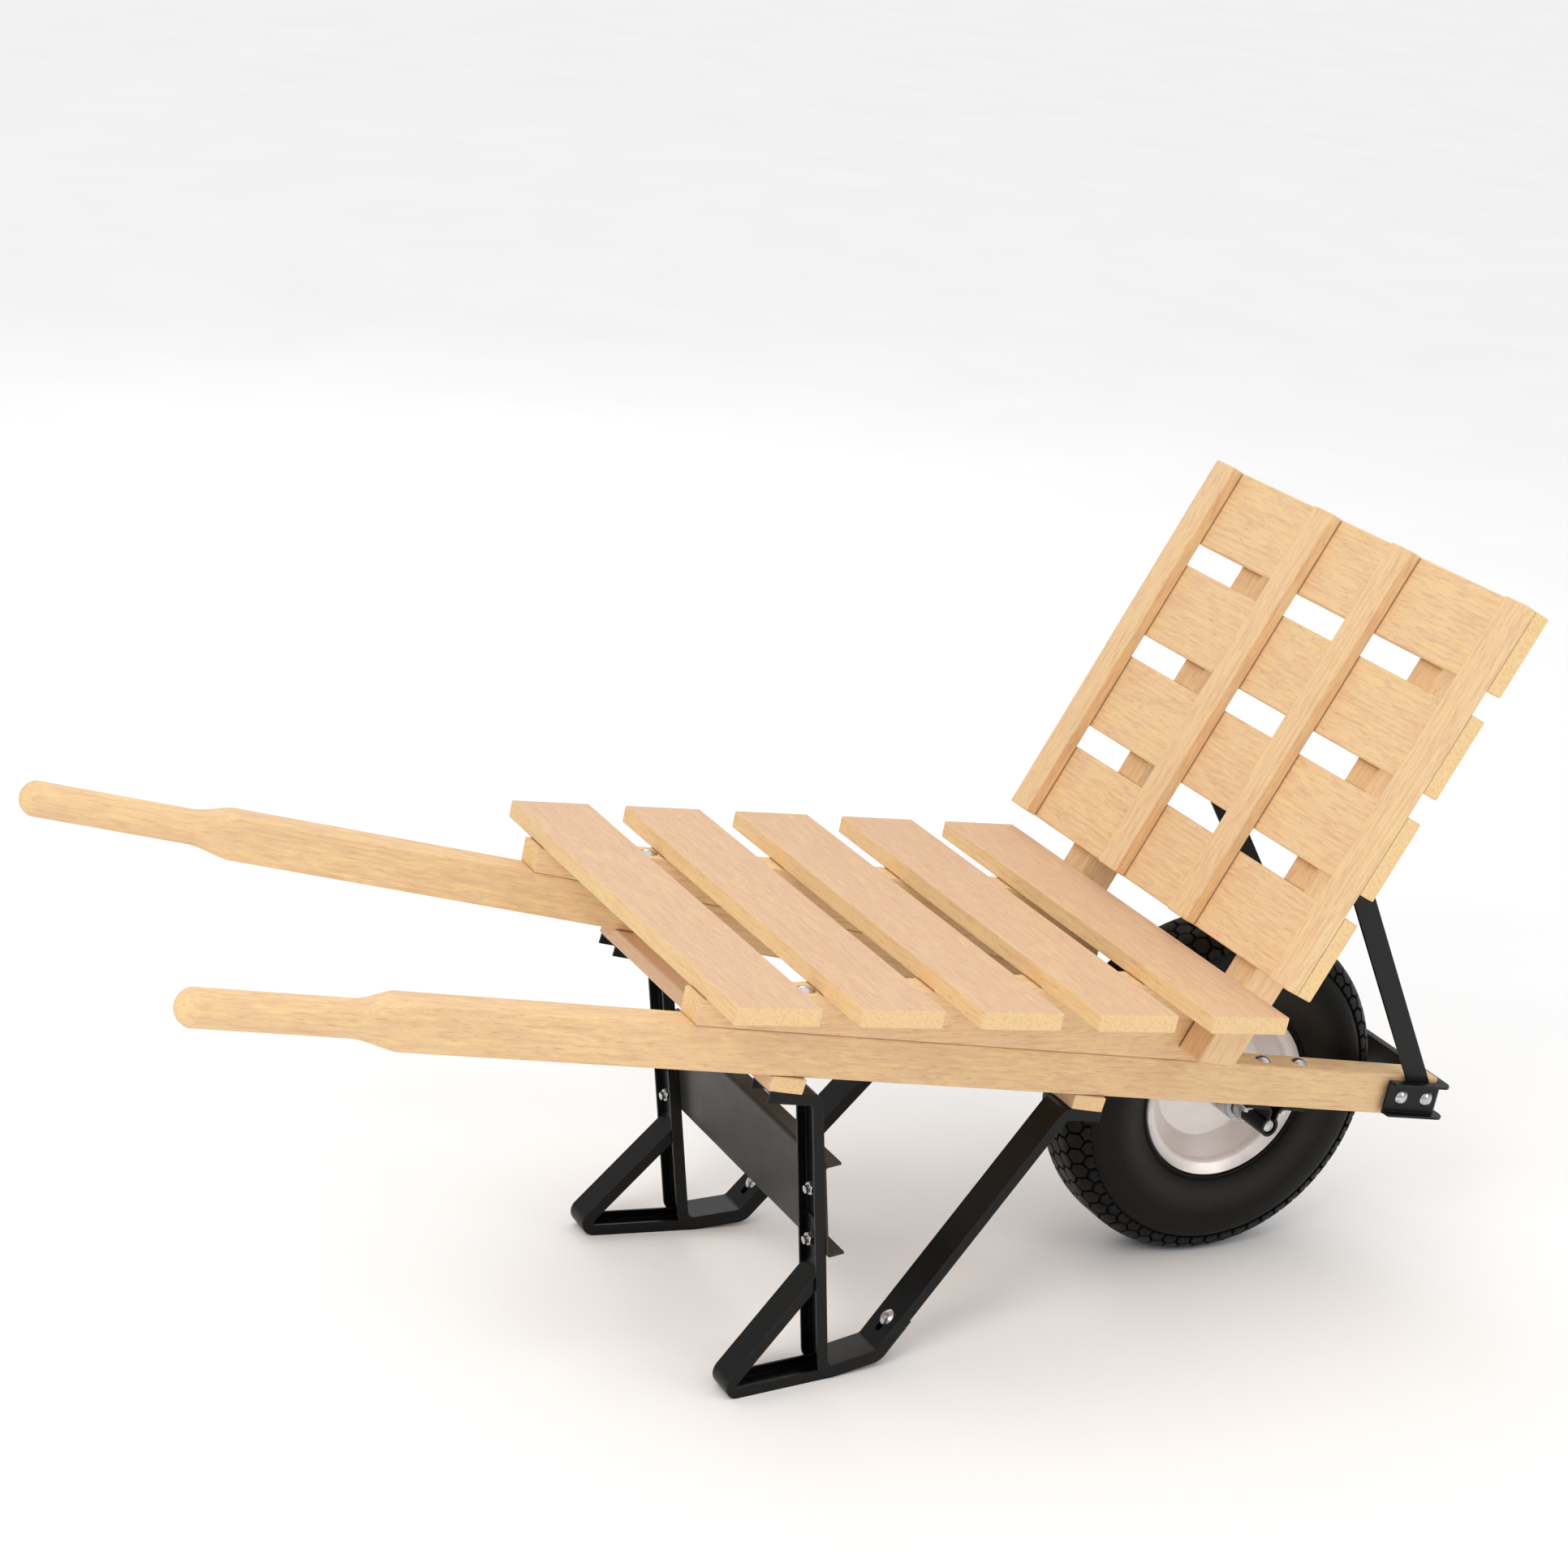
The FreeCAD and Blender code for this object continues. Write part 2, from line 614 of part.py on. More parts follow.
def dash_brace():
    """Flat bar, bolted outside the handle at the nose and to the inner side of the post at the top."""
    low = nose_bolt_point(NOSE_BOLT_X[1]) - INWARD * DASH_BRACE_PLAY
    high_y = POST_INNER_Y - DASH_BRACE_THICKNESS - 2 * DASH_BRACE_PLAY
    high = Vector(DASH_BRACE_TOP[0], high_y, DASH_BRACE_TOP[1])
    along = (high - low).normalize()
    sideways = INWARD.cross(along).normalize()
    normal = sideways.cross(along)
    half = DASH_BRACE_WIDTH / 2
    length = (high - low).Length
    bar = Part.makeBox(length, DASH_BRACE_WIDTH, DASH_BRACE_THICKNESS, Vector(0, -half, 0))
    ends = [Part.makeCylinder(half, DASH_BRACE_THICKNESS, Vector(reach, 0, 0)) for reach in (0, length)]
    bar = joined(bar, ends)
    bar.Placement = Placement(low, Rotation(along, sideways, normal, "XZY"))
    return bar


def axle_bracket():
    """Strap folded round the axle: two flanges on the handle's underside, a pinched neck and a round eye."""
    eye_inner = AXLE_DIAMETER / 2 + RUNNING_CLEARANCE
    eye_outer = eye_inner + STRAP
    path = [(-STRAP_HALF_LENGTH, 0), (-STRAP_NECK, 0), (-STRAP_NECK, -AXLE_DROP + eye_inner)]
    rear = band(path, [STRAP_BEND], 0, -STRAP)
    front = rear.mirror(ORIGIN, Vector(1, 0, 0))
    eye_centre = flat((0, -AXLE_DROP))
    eye = Part.Face(Part.Wire(Part.makeCircle(eye_outer, eye_centre, Y_AXIS)))
    bore = Part.Face(Part.Wire(Part.makeCircle(eye_inner, eye_centre, Y_AXIS)))
    mouth = polygon([(-STRAP_NECK, -AXLE_DROP), (STRAP_NECK, -AXLE_DROP),
                     (STRAP_NECK, 0), (-STRAP_NECK, 0)])
    solids = [across(face, 0, REACH) for face in (rear, front, eye.cut(mouth))]
    strap = joined(solids[0], solids[1:]).cut(across(bore, 0, REACH))
    strap.rotate(ORIGIN, Y_AXIS, HANDLE_SLOPE)
    foot = Vector(AXLE_X, 0, AXLE_Z) - HANDLE_DOWN * AXLE_DROP
    strap.translate(foot)
    plate = side_piece(polygon([(0, -REACH), (REACH, -REACH), (REACH, 0), (0, 0)]), 0, HANDLE_THICKNESS)
    return strap.common(plate)


# ---- Wheel ----------------------------------------------------------------------------------------------

def straight(start, end):
    return Part.makeLine(flat(start), flat(end))


def arc(start, middle, end):
    return Part.Arc(flat(start), flat(middle), flat(end)).toShape()


def tyre():
    """Casing with a flat crown, round shoulders and bulged sides, open toward the rim."""
    lining = WHEEL_RADIUS - CROWN_THICKNESS
    edges = [straight((WHEEL_RADIUS, -TREAD_HALF_WIDTH), (WHEEL_RADIUS, TREAD_HALF_WIDTH)),
             straight((lining, -TREAD_HALF_WIDTH), (lining, TREAD_HALF_WIDTH))]
    for side in (1, -1):
        crown_end = (WHEEL_RADIUS, side * TREAD_HALF_WIDTH)
        lining_end = (lining, side * TREAD_HALF_WIDTH)
        shoulder = (TREAD_SHOULDER[0], side * TREAD_SHOULDER[1])
        wall_top = (TREAD_EDGE[0], side * TREAD_EDGE[1])
        bead = [(radius, side * y) for radius, y in BEAD]
        edges.append(arc(crown_end, shoulder, wall_top))
        edges.append(arc(wall_top, (BULGE_RADIUS, side * TYRE_HALF_WIDTH), bead[0]))
        edges += [straight(start, end) for start, end in zip(bead, bead[1:])]
        edges.append(arc(bead[-1], (BULGE_RADIUS, side * (TYRE_HALF_WIDTH - CASING)), lining_end))
    face = Part.Face(Part.Wire(Part.__sortEdges__(edges)))
    return turned(radius_y(face))


def rim():
    """Two pressed dishes back to back, hollow behind the bead seats."""
    path = [(HUB_RADIUS, 0), (RIM_WELL_RADIUS, 0), (RIM_SEAT_RADIUS, RIM_SEAT_Y[0]),
            (RIM_SEAT_RADIUS, RIM_SEAT_Y[1]), (RIM_LIP_RADIUS, RIM_LIP_Y)]
    dish = turned(radius_y(band(path, RIM_BENDS, 0, RIM_SHEET)))
    return joined(dish, [mirrored(dish)])


def placed_valve(shape):
    """Move a piece drawn along Z, outward from the axle, to the valve's place on the wheel."""
    result = shape.copy()
    result.translate(Vector(0, VALVE_Y, 0))
    result.rotate(ORIGIN, Y_AXIS, VALVE_ANGLE)
    return result


def toward_hub(radius, start, length, end_radius=None):
    """Round piece that starts at a distance from the axle and runs toward it."""
    top = Vector(0, 0, start)
    down = Vector(0, 0, -1)
    if end_radius is None:
        return Part.makeCylinder(radius, length, top, down)
    return Part.makeCone(radius, end_radius, length, top, down)


def valve_hole():
    return placed_valve(toward_hub(VALVE_HOLE_RADIUS, RIM_LIP_RADIUS, RIM_LIP_RADIUS - RIM_WELL_RADIUS))


def valve_stem():
    """Rubber-covered stem that rises from the tube through the rim toward the hub."""
    foot_radius, foot_height = VALVE_FOOT_SIZE
    foot = toward_hub(foot_radius, VALVE_FOOT_RADIUS + foot_height, foot_height)
    body = toward_hub(VALVE_BODY_RADII[0], VALVE_FOOT_RADIUS, VALVE_BODY_LENGTH, VALVE_BODY_RADII[1])
    tip = toward_hub(VALVE_TIP_RADIUS, VALVE_FOOT_RADIUS, VALVE_LENGTH)
    return placed_valve(joined(foot, [body, tip]))


def valve_cap():
    start = VALVE_FOOT_RADIUS + CAP_SOCKET - VALVE_LENGTH
    cap = eased(toward_hub(CAP_RADIUS, start, CAP_LENGTH), 1.0, 4 * CAP_RADIUS)
    return placed_valve(cap.cut(toward_hub(VALVE_TIP_RADIUS, start, CAP_SOCKET)))


def inner_tube():
    """Thin ring inside the casing that holds the air."""
    skins = []
    for shrink in (0, TUBE_WALL):
        ellipse = Part.Ellipse(ORIGIN, TUBE_HALF_HEIGHT - shrink, TUBE_HALF_WIDTH - shrink).toShape()
        ellipse.translate(Vector(TUBE_MIDDLE_RADIUS, 0, 0))
        skins.append(Part.Face(Part.Wire(ellipse)))
    return turned(skins[0].cut(skins[1]))


def hub():
    """Long tube through the rim, counterbored at both ends for the bearings."""
    body = ring(HUB_RADIUS, AXLE_DIAMETER / 2 + 3, -HUB_HALF_LENGTH, HUB_HALF_LENGTH)
    pocket = ring(BEARING_RADIUS, 0, HUB_HALF_LENGTH - BEARING_WIDTH, HUB_HALF_LENGTH)
    return body.cut(pocket).cut(mirrored(pocket))


def bearing():
    """Ball bearing with a recessed shield, its bore a running fit on the axle."""
    bore = AXLE_DIAMETER / 2 + RUNNING_CLEARANCE
    body = ring(BEARING_RADIUS, bore, HUB_HALF_LENGTH - BEARING_WIDTH, HUB_HALF_LENGTH)
    shield_y = HUB_HALF_LENGTH - SHIELD_DEPTH
    return body.cut(ring(BEARING_RADIUS - RACE_WALL, bore + RACE_WALL, shield_y, HUB_HALF_LENGTH))


def axle():
    rod = Part.makeCylinder(AXLE_DIAMETER / 2, 2 * AXLE_HALF_LENGTH, Vector(0, -AXLE_HALF_LENGTH, 0), Y_AXIS)
    end_rims = [edge for edge in rod.Edges if abs(abs(edge.CenterOfMass.y) - AXLE_HALF_LENGTH) < 1e-3]
    return rod.makeChamfer(AXLE_CHAMFER, end_rims)


def axle_collar():
    """Sleeve that keeps the wheel midway between the brackets."""
    end_y = handle_y(AXLE_X + COLLAR_RADIUS, HANDLE_THICKNESS) - COLLAR_PLAY
    return ring(COLLAR_RADIUS, AXLE_DIAMETER / 2, HUB_HALF_LENGTH + COLLAR_PLAY, end_y)


# ---- Assembly -------------------------------------------------------------------------------------------

def both(name, shape):
    return {name + "_left": shape, name + "_right": mirrored(shape)}


def wooden_nodes():
    nodes = {"bed_slat_%d" % (index + 1): bed_slat(index) for index in range(SLAT_COUNT)}
    nodes.update({"dash_board_%d" % (index + 1): dash_board(index) for index in range(BOARD_COUNT)})
    outer_y = (BOARD_LENGTH - BATTEN_WIDTH) / 2
    for index, middle_y in enumerate((outer_y, BATTEN_INNER_Y, -BATTEN_INNER_Y, -outer_y)):
        nodes["dash_batten_%d" % (index + 1)] = dash_batten(middle_y)
    nodes.update(both("handle", handle()))
    nodes.update(both("riser", riser()))
    nodes.update(both("dash_post", dash_post()))
    nodes["crossbar_rear"] = crossbar(REAR_CROSSBAR_X)
    nodes["crossbar_front"] = crossbar(FRONT_CROSSBAR_X)
    return nodes


def steel_nodes():
    nodes = both("leg", leg().cut(shoe_slot()))
    nodes.update(both("leg_shoe", shoe()))
    nodes.update(both("dash_brace", dash_brace()))
    nodes.update(both("axle_bracket", axle_bracket()))
    nodes["leg_cross_brace"] = leg_cross_brace()
    nodes["nose_bar"] = nose_bar()
    return nodes


def wheel_nodes():
    nodes = {"axle": axle(), "tyre": tyre().cut(rim()), "rim": rim().cut(valve_hole()), "hub": hub()}
    nodes.update({"inner_tube": inner_tube(), "valve_stem": valve_stem(), "valve_cap": valve_cap()})
    nodes.update(both("bearing", bearing()))
    nodes.update(both("axle_collar", axle_collar()))
    return {name: on_axle(shape) for name, shape in nodes.items()}


def crossbar_bolt(crossbar_x):
    """Axis of the bolt from a riser's top down through handle, crossbar and leg, square to the handle."""
    foot = Vector(crossbar_x, handle_y(crossbar_x, HANDLE_THICKNESS / 2), handle_z(crossbar_x, HANDLE_HEIGHT))
    start = foot - HANDLE_DOWN * ((-SLAT_THICKNESS - foot.z) / SLOPE_COS)
    start = start + HANDLE_DOWN * HEAD_SINK
    grip = (start - foot).Length + CROSSBAR_THICKNESS + SHEET
    return (start, HANDLE_DOWN, grip)


def bracket_bolt(side):
    eye = Vector(AXLE_X, handle_y(AXLE_X, HANDLE_THICKNESS / 2), AXLE_Z)
    along = Vector(SLOPE_COS, 0, -SLOPE_SIN)
    foot = eye - HANDLE_DOWN * AXLE_DROP + along * (side * STRAP_BOLT_SPACING / 2)
    foot.y = handle_y(foot.x, HANDLE_THICKNESS / 2)
    grip = HANDLE_HEIGHT * SLOPE_COS
    return (foot - HANDLE_DOWN * grip, HANDLE_DOWN, grip + STRAP)


def nose_bolt(x):
    cover = NOSE_COVER + SHEET
    return (nose_bolt_point(x) - INWARD * cover, INWARD, cover + HANDLE_THICKNESS)


def brace_bolt(side):
    """Cross brace to shin; the lower one also holds the shoe's tab."""
    middle = moved(brace_middle(), SHIN, side * BRACE_BOLT_SPACING / 2 - BRACE_BOLT_DROP)
    direction = flat((-SHIN[1], SHIN[0]))
    start = flat(middle) - direction * SHEET
    start.y = handle_y(start.x, CHANNEL_WIDTH / 2)
    return (start, direction, (2 if side > 0 else 3) * SHEET)


def shoe_bolt():
    direction = flat((STRUT[1], -STRUT[0]))
    start = flat(moved(LEG_TOE, STRUT, SHOE_BOLT_REACH))
    start.y = handle_y(start.x, CHANNEL_WIDTH / 2)
    return (start, direction, CHANNEL_DEPTH + SOLE_DROP)


def shoe_slot():
    """Adjusting slot for the shoe bolt, in the leg's web below the toe."""
    start, direction, grip = shoe_bolt()
    slot = bolt_hole(start, direction, grip)
    end = slot.copy()
    down = flat(STRUT) * -(SHOE_SLOT_LENGTH - HOLE_DIAMETER)
    end.translate(down)
    middle = Part.makeBox(SHOE_SLOT_LENGTH - HOLE_DIAMETER, HOLE_DIAMETER, 2 * HEAD_HEIGHT)
    middle.translate(Vector(0, -HOLE_DIAMETER / 2, -HEAD_HEIGHT))
    turn = Rotation(flat(STRUT) * -1, Y_AXIS, direction, "ZXY")
    middle.Placement = Placement(start, turn).multiply(middle.Placement)
    web_zone = side_piece(band(LEG_PATH, LEG_BENDS, SHEET, -2 * SHEET), 0, CHANNEL_WIDTH)
    return slot.fuse([middle, end]).common(web_zone)


def dash_brace_bolt():
    start = Vector(DASH_BRACE_TOP[0], POST_INNER_Y + POST_WIDTH, DASH_BRACE_TOP[1])
    return (start, Vector(0, -1, 0), POST_WIDTH + DASH_BRACE_THICKNESS + 3 * DASH_BRACE_PLAY)


def bolt_sets():
    """Name of each set, its left-hand bolt axes and the left-hand nodes that they pass through."""
    crossbars = [crossbar_bolt(REAR_CROSSBAR_X), crossbar_bolt(FRONT_CROSSBAR_X)]
    return {
        "crossbar_bolt": (crossbars, ["riser", "handle", "crossbar_rear", "crossbar_front", "leg"]),
        "bracket_bolt": ([bracket_bolt(-1), bracket_bolt(1)], ["handle", "axle_bracket"]),
        "nose_bolt": ([nose_bolt(x) for x in NOSE_BOLT_X], ["handle", "nose_bar", "dash_brace"]),
        "brace_bolt": ([brace_bolt(1), brace_bolt(-1)], ["leg", "leg_shoe", "leg_cross_brace"]),
        "shoe_bolt": ([shoe_bolt()], ["leg_shoe"]),
        "dash_brace_bolt": ([dash_brace_bolt()], ["dash_post", "dash_brace"]),
    }


def drill(nodes, names, axes):
    """Bore both sides' nodes for left-hand bolt axes."""
    for start, direction, grip in axes:
        hole = bolt_hole(start, direction, grip)
        for name in names:
            if name in nodes:
                nodes[name] = nodes[name].cut(hole).cut(mirrored(hole))
            else:
                nodes[name + "_left"] = nodes[name + "_left"].cut(hole)
                nodes[name + "_right"] = nodes[name + "_right"].cut(mirrored(hole))


def add_fasteners(nodes):
    for set_name, (axes, names) in bolt_sets().items():
        drill(nodes, names, axes)
        bolts = [carriage_bolt(*axis) for axis in axes]
        nuts = [hex_nut(*axis) for axis in axes]
        nodes[set_name + "s"] = Part.makeCompound(bolts + [mirrored(bolt) for bolt in bolts])
        nodes[set_name + "_nuts"] = Part.makeCompound(nuts + [mirrored(nut) for nut in nuts])
    for axis in bolt_sets()["crossbar_bolt"][0]:
        seat = spot_face(axis[0], axis[1])
        nodes["riser_left"] = nodes["riser_left"].cut(seat)
        nodes["riser_right"] = nodes["riser_right"].cut(mirrored(seat))


def standing(nodes):
    """Tip the bed frame onto the ground and centre the barrow's box on the origin."""
    for shape in nodes.values():
        shape.rotate(ORIGIN, Y_AXIS, BED_PITCH)
    ground = floor_z(0) * math.cos(math.radians(BED_PITCH))
    ends = Part.makeCompound([nodes["handle_left"], nodes["nose_bar"]]).optimalBoundingBox(False)
    for shape in nodes.values():
        shape.translate(Vector(-ends.Center.x, 0, -ground))
    return nodes


def build():
    nodes = wooden_nodes()
    nodes.update(steel_nodes())
    nodes.update(wheel_nodes())
    add_fasteners(nodes)
    return standing(nodes)


os.makedirs("parts", exist_ok=True)
for node_name, node_shape in build().items():
    node_shape.exportStep("parts/%s.step" % node_name)
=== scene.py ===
import json
import math

import bmesh
import bpy
from mathutils import Matrix, Vector


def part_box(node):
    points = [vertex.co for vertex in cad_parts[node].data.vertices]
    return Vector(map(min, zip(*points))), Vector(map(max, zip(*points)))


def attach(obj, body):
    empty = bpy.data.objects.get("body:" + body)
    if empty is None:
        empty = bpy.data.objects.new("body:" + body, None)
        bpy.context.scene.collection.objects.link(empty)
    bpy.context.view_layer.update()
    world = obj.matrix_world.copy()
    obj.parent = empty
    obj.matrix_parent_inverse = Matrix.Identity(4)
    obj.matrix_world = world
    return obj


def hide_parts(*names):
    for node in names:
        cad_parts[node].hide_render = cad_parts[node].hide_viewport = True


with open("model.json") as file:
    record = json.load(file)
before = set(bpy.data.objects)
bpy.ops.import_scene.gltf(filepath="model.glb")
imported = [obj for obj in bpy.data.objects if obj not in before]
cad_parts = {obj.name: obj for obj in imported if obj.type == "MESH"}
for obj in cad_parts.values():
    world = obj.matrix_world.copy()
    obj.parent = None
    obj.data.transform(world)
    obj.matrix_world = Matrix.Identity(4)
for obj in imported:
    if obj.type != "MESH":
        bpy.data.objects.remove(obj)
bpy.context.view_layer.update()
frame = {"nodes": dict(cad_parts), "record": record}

BED_PITCH = math.radians(6.36)
HANDLE_YAW = math.radians(7.02)
HANDLE_SLOPE = math.radians(5.68 + 6.36)
DASH_LEAN = math.radians(21.86 + 6.36)

UP = Vector((0, 0, 1))
LEFT = Vector((0, 1, 0))
BED_FORWARD = Vector((math.cos(BED_PITCH), 0, -math.sin(BED_PITCH)))
BED_UP = Vector((math.sin(BED_PITCH), 0, math.cos(BED_PITCH)))
DASH_FORWARD = Vector((math.cos(DASH_LEAN), 0, -math.sin(DASH_LEAN)))
DASH_UP = Vector((math.sin(DASH_LEAN), 0, math.cos(DASH_LEAN)))


def handle_forward(side):
    """Direction of a handle toward the nose; side is 1 on the operator's left."""
    across = -side * math.tan(HANDLE_YAW)
    return Vector((1, across, -math.tan(HANDLE_SLOPE) / math.cos(HANDLE_YAW))).normalized()


# ---- Camera, floor and lights ----------------------------------------------------------------------------

FLOOR_REACH = 25.0
SKY_AT_HORIZON = 0.26
SKY_OVERHEAD = 1.25


def add_camera():
    """The photograph's viewpoint: where the camera stands, and its right, up and backward directions."""
    eye = Vector((-1.5585, -2.8372, 1.6677))
    right = Vector((0.91018, -0.40494, 0.08724))
    up = Vector((0.07148, 0.36095, 0.92984))
    back = Vector((-0.40801, -0.84009, 0.35747))
    data = bpy.data.cameras.new("camera")
    data.lens = 79.31
    data.sensor_width = 36.0
    data.shift_x = 0.0815
    data.shift_y = 0.0700
    data.clip_end = 60.0
    camera = bpy.data.objects.new("camera", data)
    bpy.context.scene.collection.objects.link(camera)
    camera.matrix_world = Matrix(((right.x, up.x, back.x, eye.x), (right.y, up.y, back.y, eye.y),
                                  (right.z, up.z, back.z, eye.z), (0, 0, 0, 1)))
    bpy.context.scene.camera = camera


def add_light(name, place, target, size, power, colour):
    """A round lamp of a width in metres and a power in watts, aimed at target."""
    data = bpy.data.lights.new(name, "AREA")
    data.shape = "DISK"
    data.size = size
    data.energy = power
    data.color = colour
    light = bpy.data.objects.new(name, data)
    bpy.context.scene.collection.objects.link(light)
    light.location = place
    light.rotation_euler = (Vector(target) - Vector(place)).to_track_quat("-Z", "Y").to_euler()


def add_studio():
    """A soft white sky, brighter overhead than at the horizon, with three wide lamps."""
    world = bpy.data.worlds.new("studio")
    bpy.context.scene.world = world
    world.use_nodes = True
    nodes = world.node_tree.nodes
    direction = nodes.new("ShaderNodeTexCoord")
    split = nodes.new("ShaderNodeSeparateXYZ")
    brightness = nodes.new("ShaderNodeMapRange")
    brightness.inputs["To Min"].default_value = SKY_AT_HORIZON
    brightness.inputs["To Max"].default_value = SKY_OVERHEAD
    background = nodes["Background"]
    background.inputs["Color"].default_value = (1.0, 1.0, 1.0, 1.0)
    world.node_tree.links.new(direction.outputs["Generated"], split.inputs[0])
    world.node_tree.links.new(split.outputs[2], brightness.inputs["Value"])
    world.node_tree.links.new(brightness.outputs["Result"], background.inputs["Strength"])
    add_light("key", (-2.4, -2.0, 2.9), (0.1, 0, 0.35), 1.6, 46.0, (1.0, 0.97, 0.94))
    add_light("fill", (2.6, -2.8, 1.5), (0.3, 0, 0.3), 1.8, 14.0, (1.0, 0.99, 0.98))
    add_light("back", (0.8, 3.2, 2.4), (0.3, 0, 0.4), 2.0, 14.0, (0.97, 0.98, 1.0))
    bpy.context.scene.view_settings.view_transform = "Standard"


def add_floor():
    """A plain pale floor."""
    floor_mesh = bpy.data.meshes.new("floor")
    corners = [(-FLOOR_REACH, -FLOOR_REACH, 0), (FLOOR_REACH, -FLOOR_REACH, 0),
               (FLOOR_REACH, FLOOR_REACH, 0), (-FLOOR_REACH, FLOOR_REACH, 0)]
    floor_mesh.from_pydata(corners, [], [(0, 1, 2, 3)])
    floor = bpy.data.objects.new("floor", floor_mesh)
    bpy.context.scene.collection.objects.link(floor)
    graph = Graph("pale_floor")
    speckle = graph.noise(graph.place(), 3.0, 2.0)
    shade = graph.ramp(speckle, [(0.3, (0.955, 0.955, 0.955)), (0.7, (0.98, 0.98, 0.98))])
    graph.finish(colour=shade, roughness=0.9)
    floor_mesh.materials.append(graph.material)


# ---- Material graphs -------------------------------------------------------------------------------------

MIX_COLOUR_INPUTS = (0, 6, 7)
MIX_COLOUR_OUTPUT = 2
BEVEL_SAMPLES = 4
CREVICE_SAMPLES = 6
# Cosine between the rounded and the flat normal where an edge begins, and where it counts in full
EDGE_BEGINS = 0.995
EDGE_IN_FULL = 0.80
# Share of open surroundings where the painted crevice shade begins, and where it is darkest
CREVICE_BEGINS = 0.82
CREVICE_IN_FULL = 0.38


class Graph:
    """A node material. Each input of a node is given as a number, a colour or another node's output."""

    def __init__(self, name):
        self.material = bpy.data.materials.new(name)
        self.material.use_nodes = True
        self.tree = self.material.node_tree
        self.shader = self.tree.nodes["Principled BSDF"]

    def set(self, socket, value):
        if isinstance(value, bpy.types.NodeSocket):
            self.tree.links.new(value, socket)
        elif isinstance(value, (tuple, Vector)) and socket.type == "RGBA":
            socket.default_value = (value[0], value[1], value[2], 1.0)
        else:
            socket.default_value = value

    def node(self, kind, *values, output=0, **settings):
        """Add a node, fill its first inputs with values and return one output, by number or name."""
        node = self.tree.nodes.new(kind)
        for key, setting in settings.items():
            setattr(node, key, setting)
        for socket, value in zip(node.inputs, values):
            self.set(socket, value)
        return node.outputs[output]

    def place(self):
        return self.node("ShaderNodeTexCoord", output="Object")

    def face_normal(self):
        return self.node("ShaderNodeNewGeometry", output="Normal")

    def product(self, first, second):
        return self.math("MULTIPLY", first, second)

    def math(self, operation, *values):
        return self.node("ShaderNodeMath", *values, operation=operation)

    def dot(self, first, second):
        return self.node("ShaderNodeVectorMath", first, second, operation="DOT_PRODUCT", output="Value")

    def stretched(self, vector, scales, offset=(0, 0, 0)):
        return self.node("ShaderNodeMapping", vector, offset, (0, 0, 0), scales)

    def noise(self, vector, scale, detail=3.0, roughness=0.55, distortion=0.0):
        node = self.tree.nodes.new("ShaderNodeTexNoise")
        self.set(node.inputs["Vector"], vector)
        node.inputs["Scale"].default_value = scale
        node.inputs["Detail"].default_value = detail
        node.inputs["Roughness"].default_value = roughness
        node.inputs["Distortion"].default_value = distortion
        return node.outputs[0]

    def ramp(self, factor, stops):
        node = self.tree.nodes.new("ShaderNodeValToRGB")
        self.set(node.inputs[0], factor)
        elements = node.color_ramp.elements
        while len(elements) < len(stops):
            elements.new(0.5)
        for element, (position, colour) in zip(elements, stops):
            element.position = position
            element.color = (colour[0], colour[1], colour[2], 1.0)
        return node.outputs[0]

    def level(self, factor, low, high, bottom=0.0, top=1.0):
        node = self.tree.nodes.new("ShaderNodeMapRange")
        node.inputs["From Min"].default_value = low
        node.inputs["From Max"].default_value = high
        node.inputs["To Min"].default_value = bottom
        node.inputs["To Max"].default_value = top
        self.set(node.inputs["Value"], factor)
        return node.outputs["Result"]

    def mix(self, factor, first, second):
        """Blend two colours; the node's sockets share names, so they are taken by number."""
        node = self.tree.nodes.new("ShaderNodeMix")
        node.data_type = "RGBA"
        for socket, value in zip(MIX_COLOUR_INPUTS, (factor, first, second)):
            self.set(node.inputs[socket], value)
        return node.outputs[MIX_COLOUR_OUTPUT]

    def soft_edge(self, radius):
        """Normal that rounds the edges by radius, and a mask that is 0 on flats and 1 at edges."""
        rounded = self.node("ShaderNodeBevel", radius, samples=BEVEL_SAMPLES)
        return rounded, self.level(self.dot(rounded, self.face_normal()), EDGE_BEGINS, EDGE_IN_FULL)

    def painted_crevice_shade(self, colour, dark, reach, amount):
        """The colour with painted shade where another surface comes within reach."""
        node = self.tree.nodes.new("ShaderNodeAmbientOcclusion")
        node.samples = CREVICE_SAMPLES
        node.inputs["Distance"].default_value = reach
        closeness = self.level(node.outputs["AO"], CREVICE_BEGINS, CREVICE_IN_FULL, 0.0, amount)
        return self.mix(closeness, colour, dark)

    def bump(self, height, distance, strength, normal=None):
        node = self.tree.nodes.new("ShaderNodeBump")
        node.inputs["Strength"].default_value = strength
        node.inputs["Distance"].default_value = distance
        self.set(node.inputs["Height"], height)
        if normal is not None:
            self.set(node.inputs["Normal"], normal)
        return node.outputs[0]

    def finish(self, colour, roughness, metallic=0.0, normal=None, specular=None, coat=None):
        self.set(self.shader.inputs["Base Color"], colour)
        self.set(self.shader.inputs["Roughness"], roughness)
        self.set(self.shader.inputs["Metallic"], metallic)
        if normal is not None:
            self.set(self.shader.inputs["Normal"], normal)
        if specular is not None:
            self.shader.inputs["Specular IOR Level"].default_value = specular
        if coat is not None:
            self.shader.inputs["Coat Weight"].default_value = coat[0]
            self.shader.inputs["Coat Roughness"].default_value = coat[1]


# ---- Materials -------------------------------------------------------------------------------------------

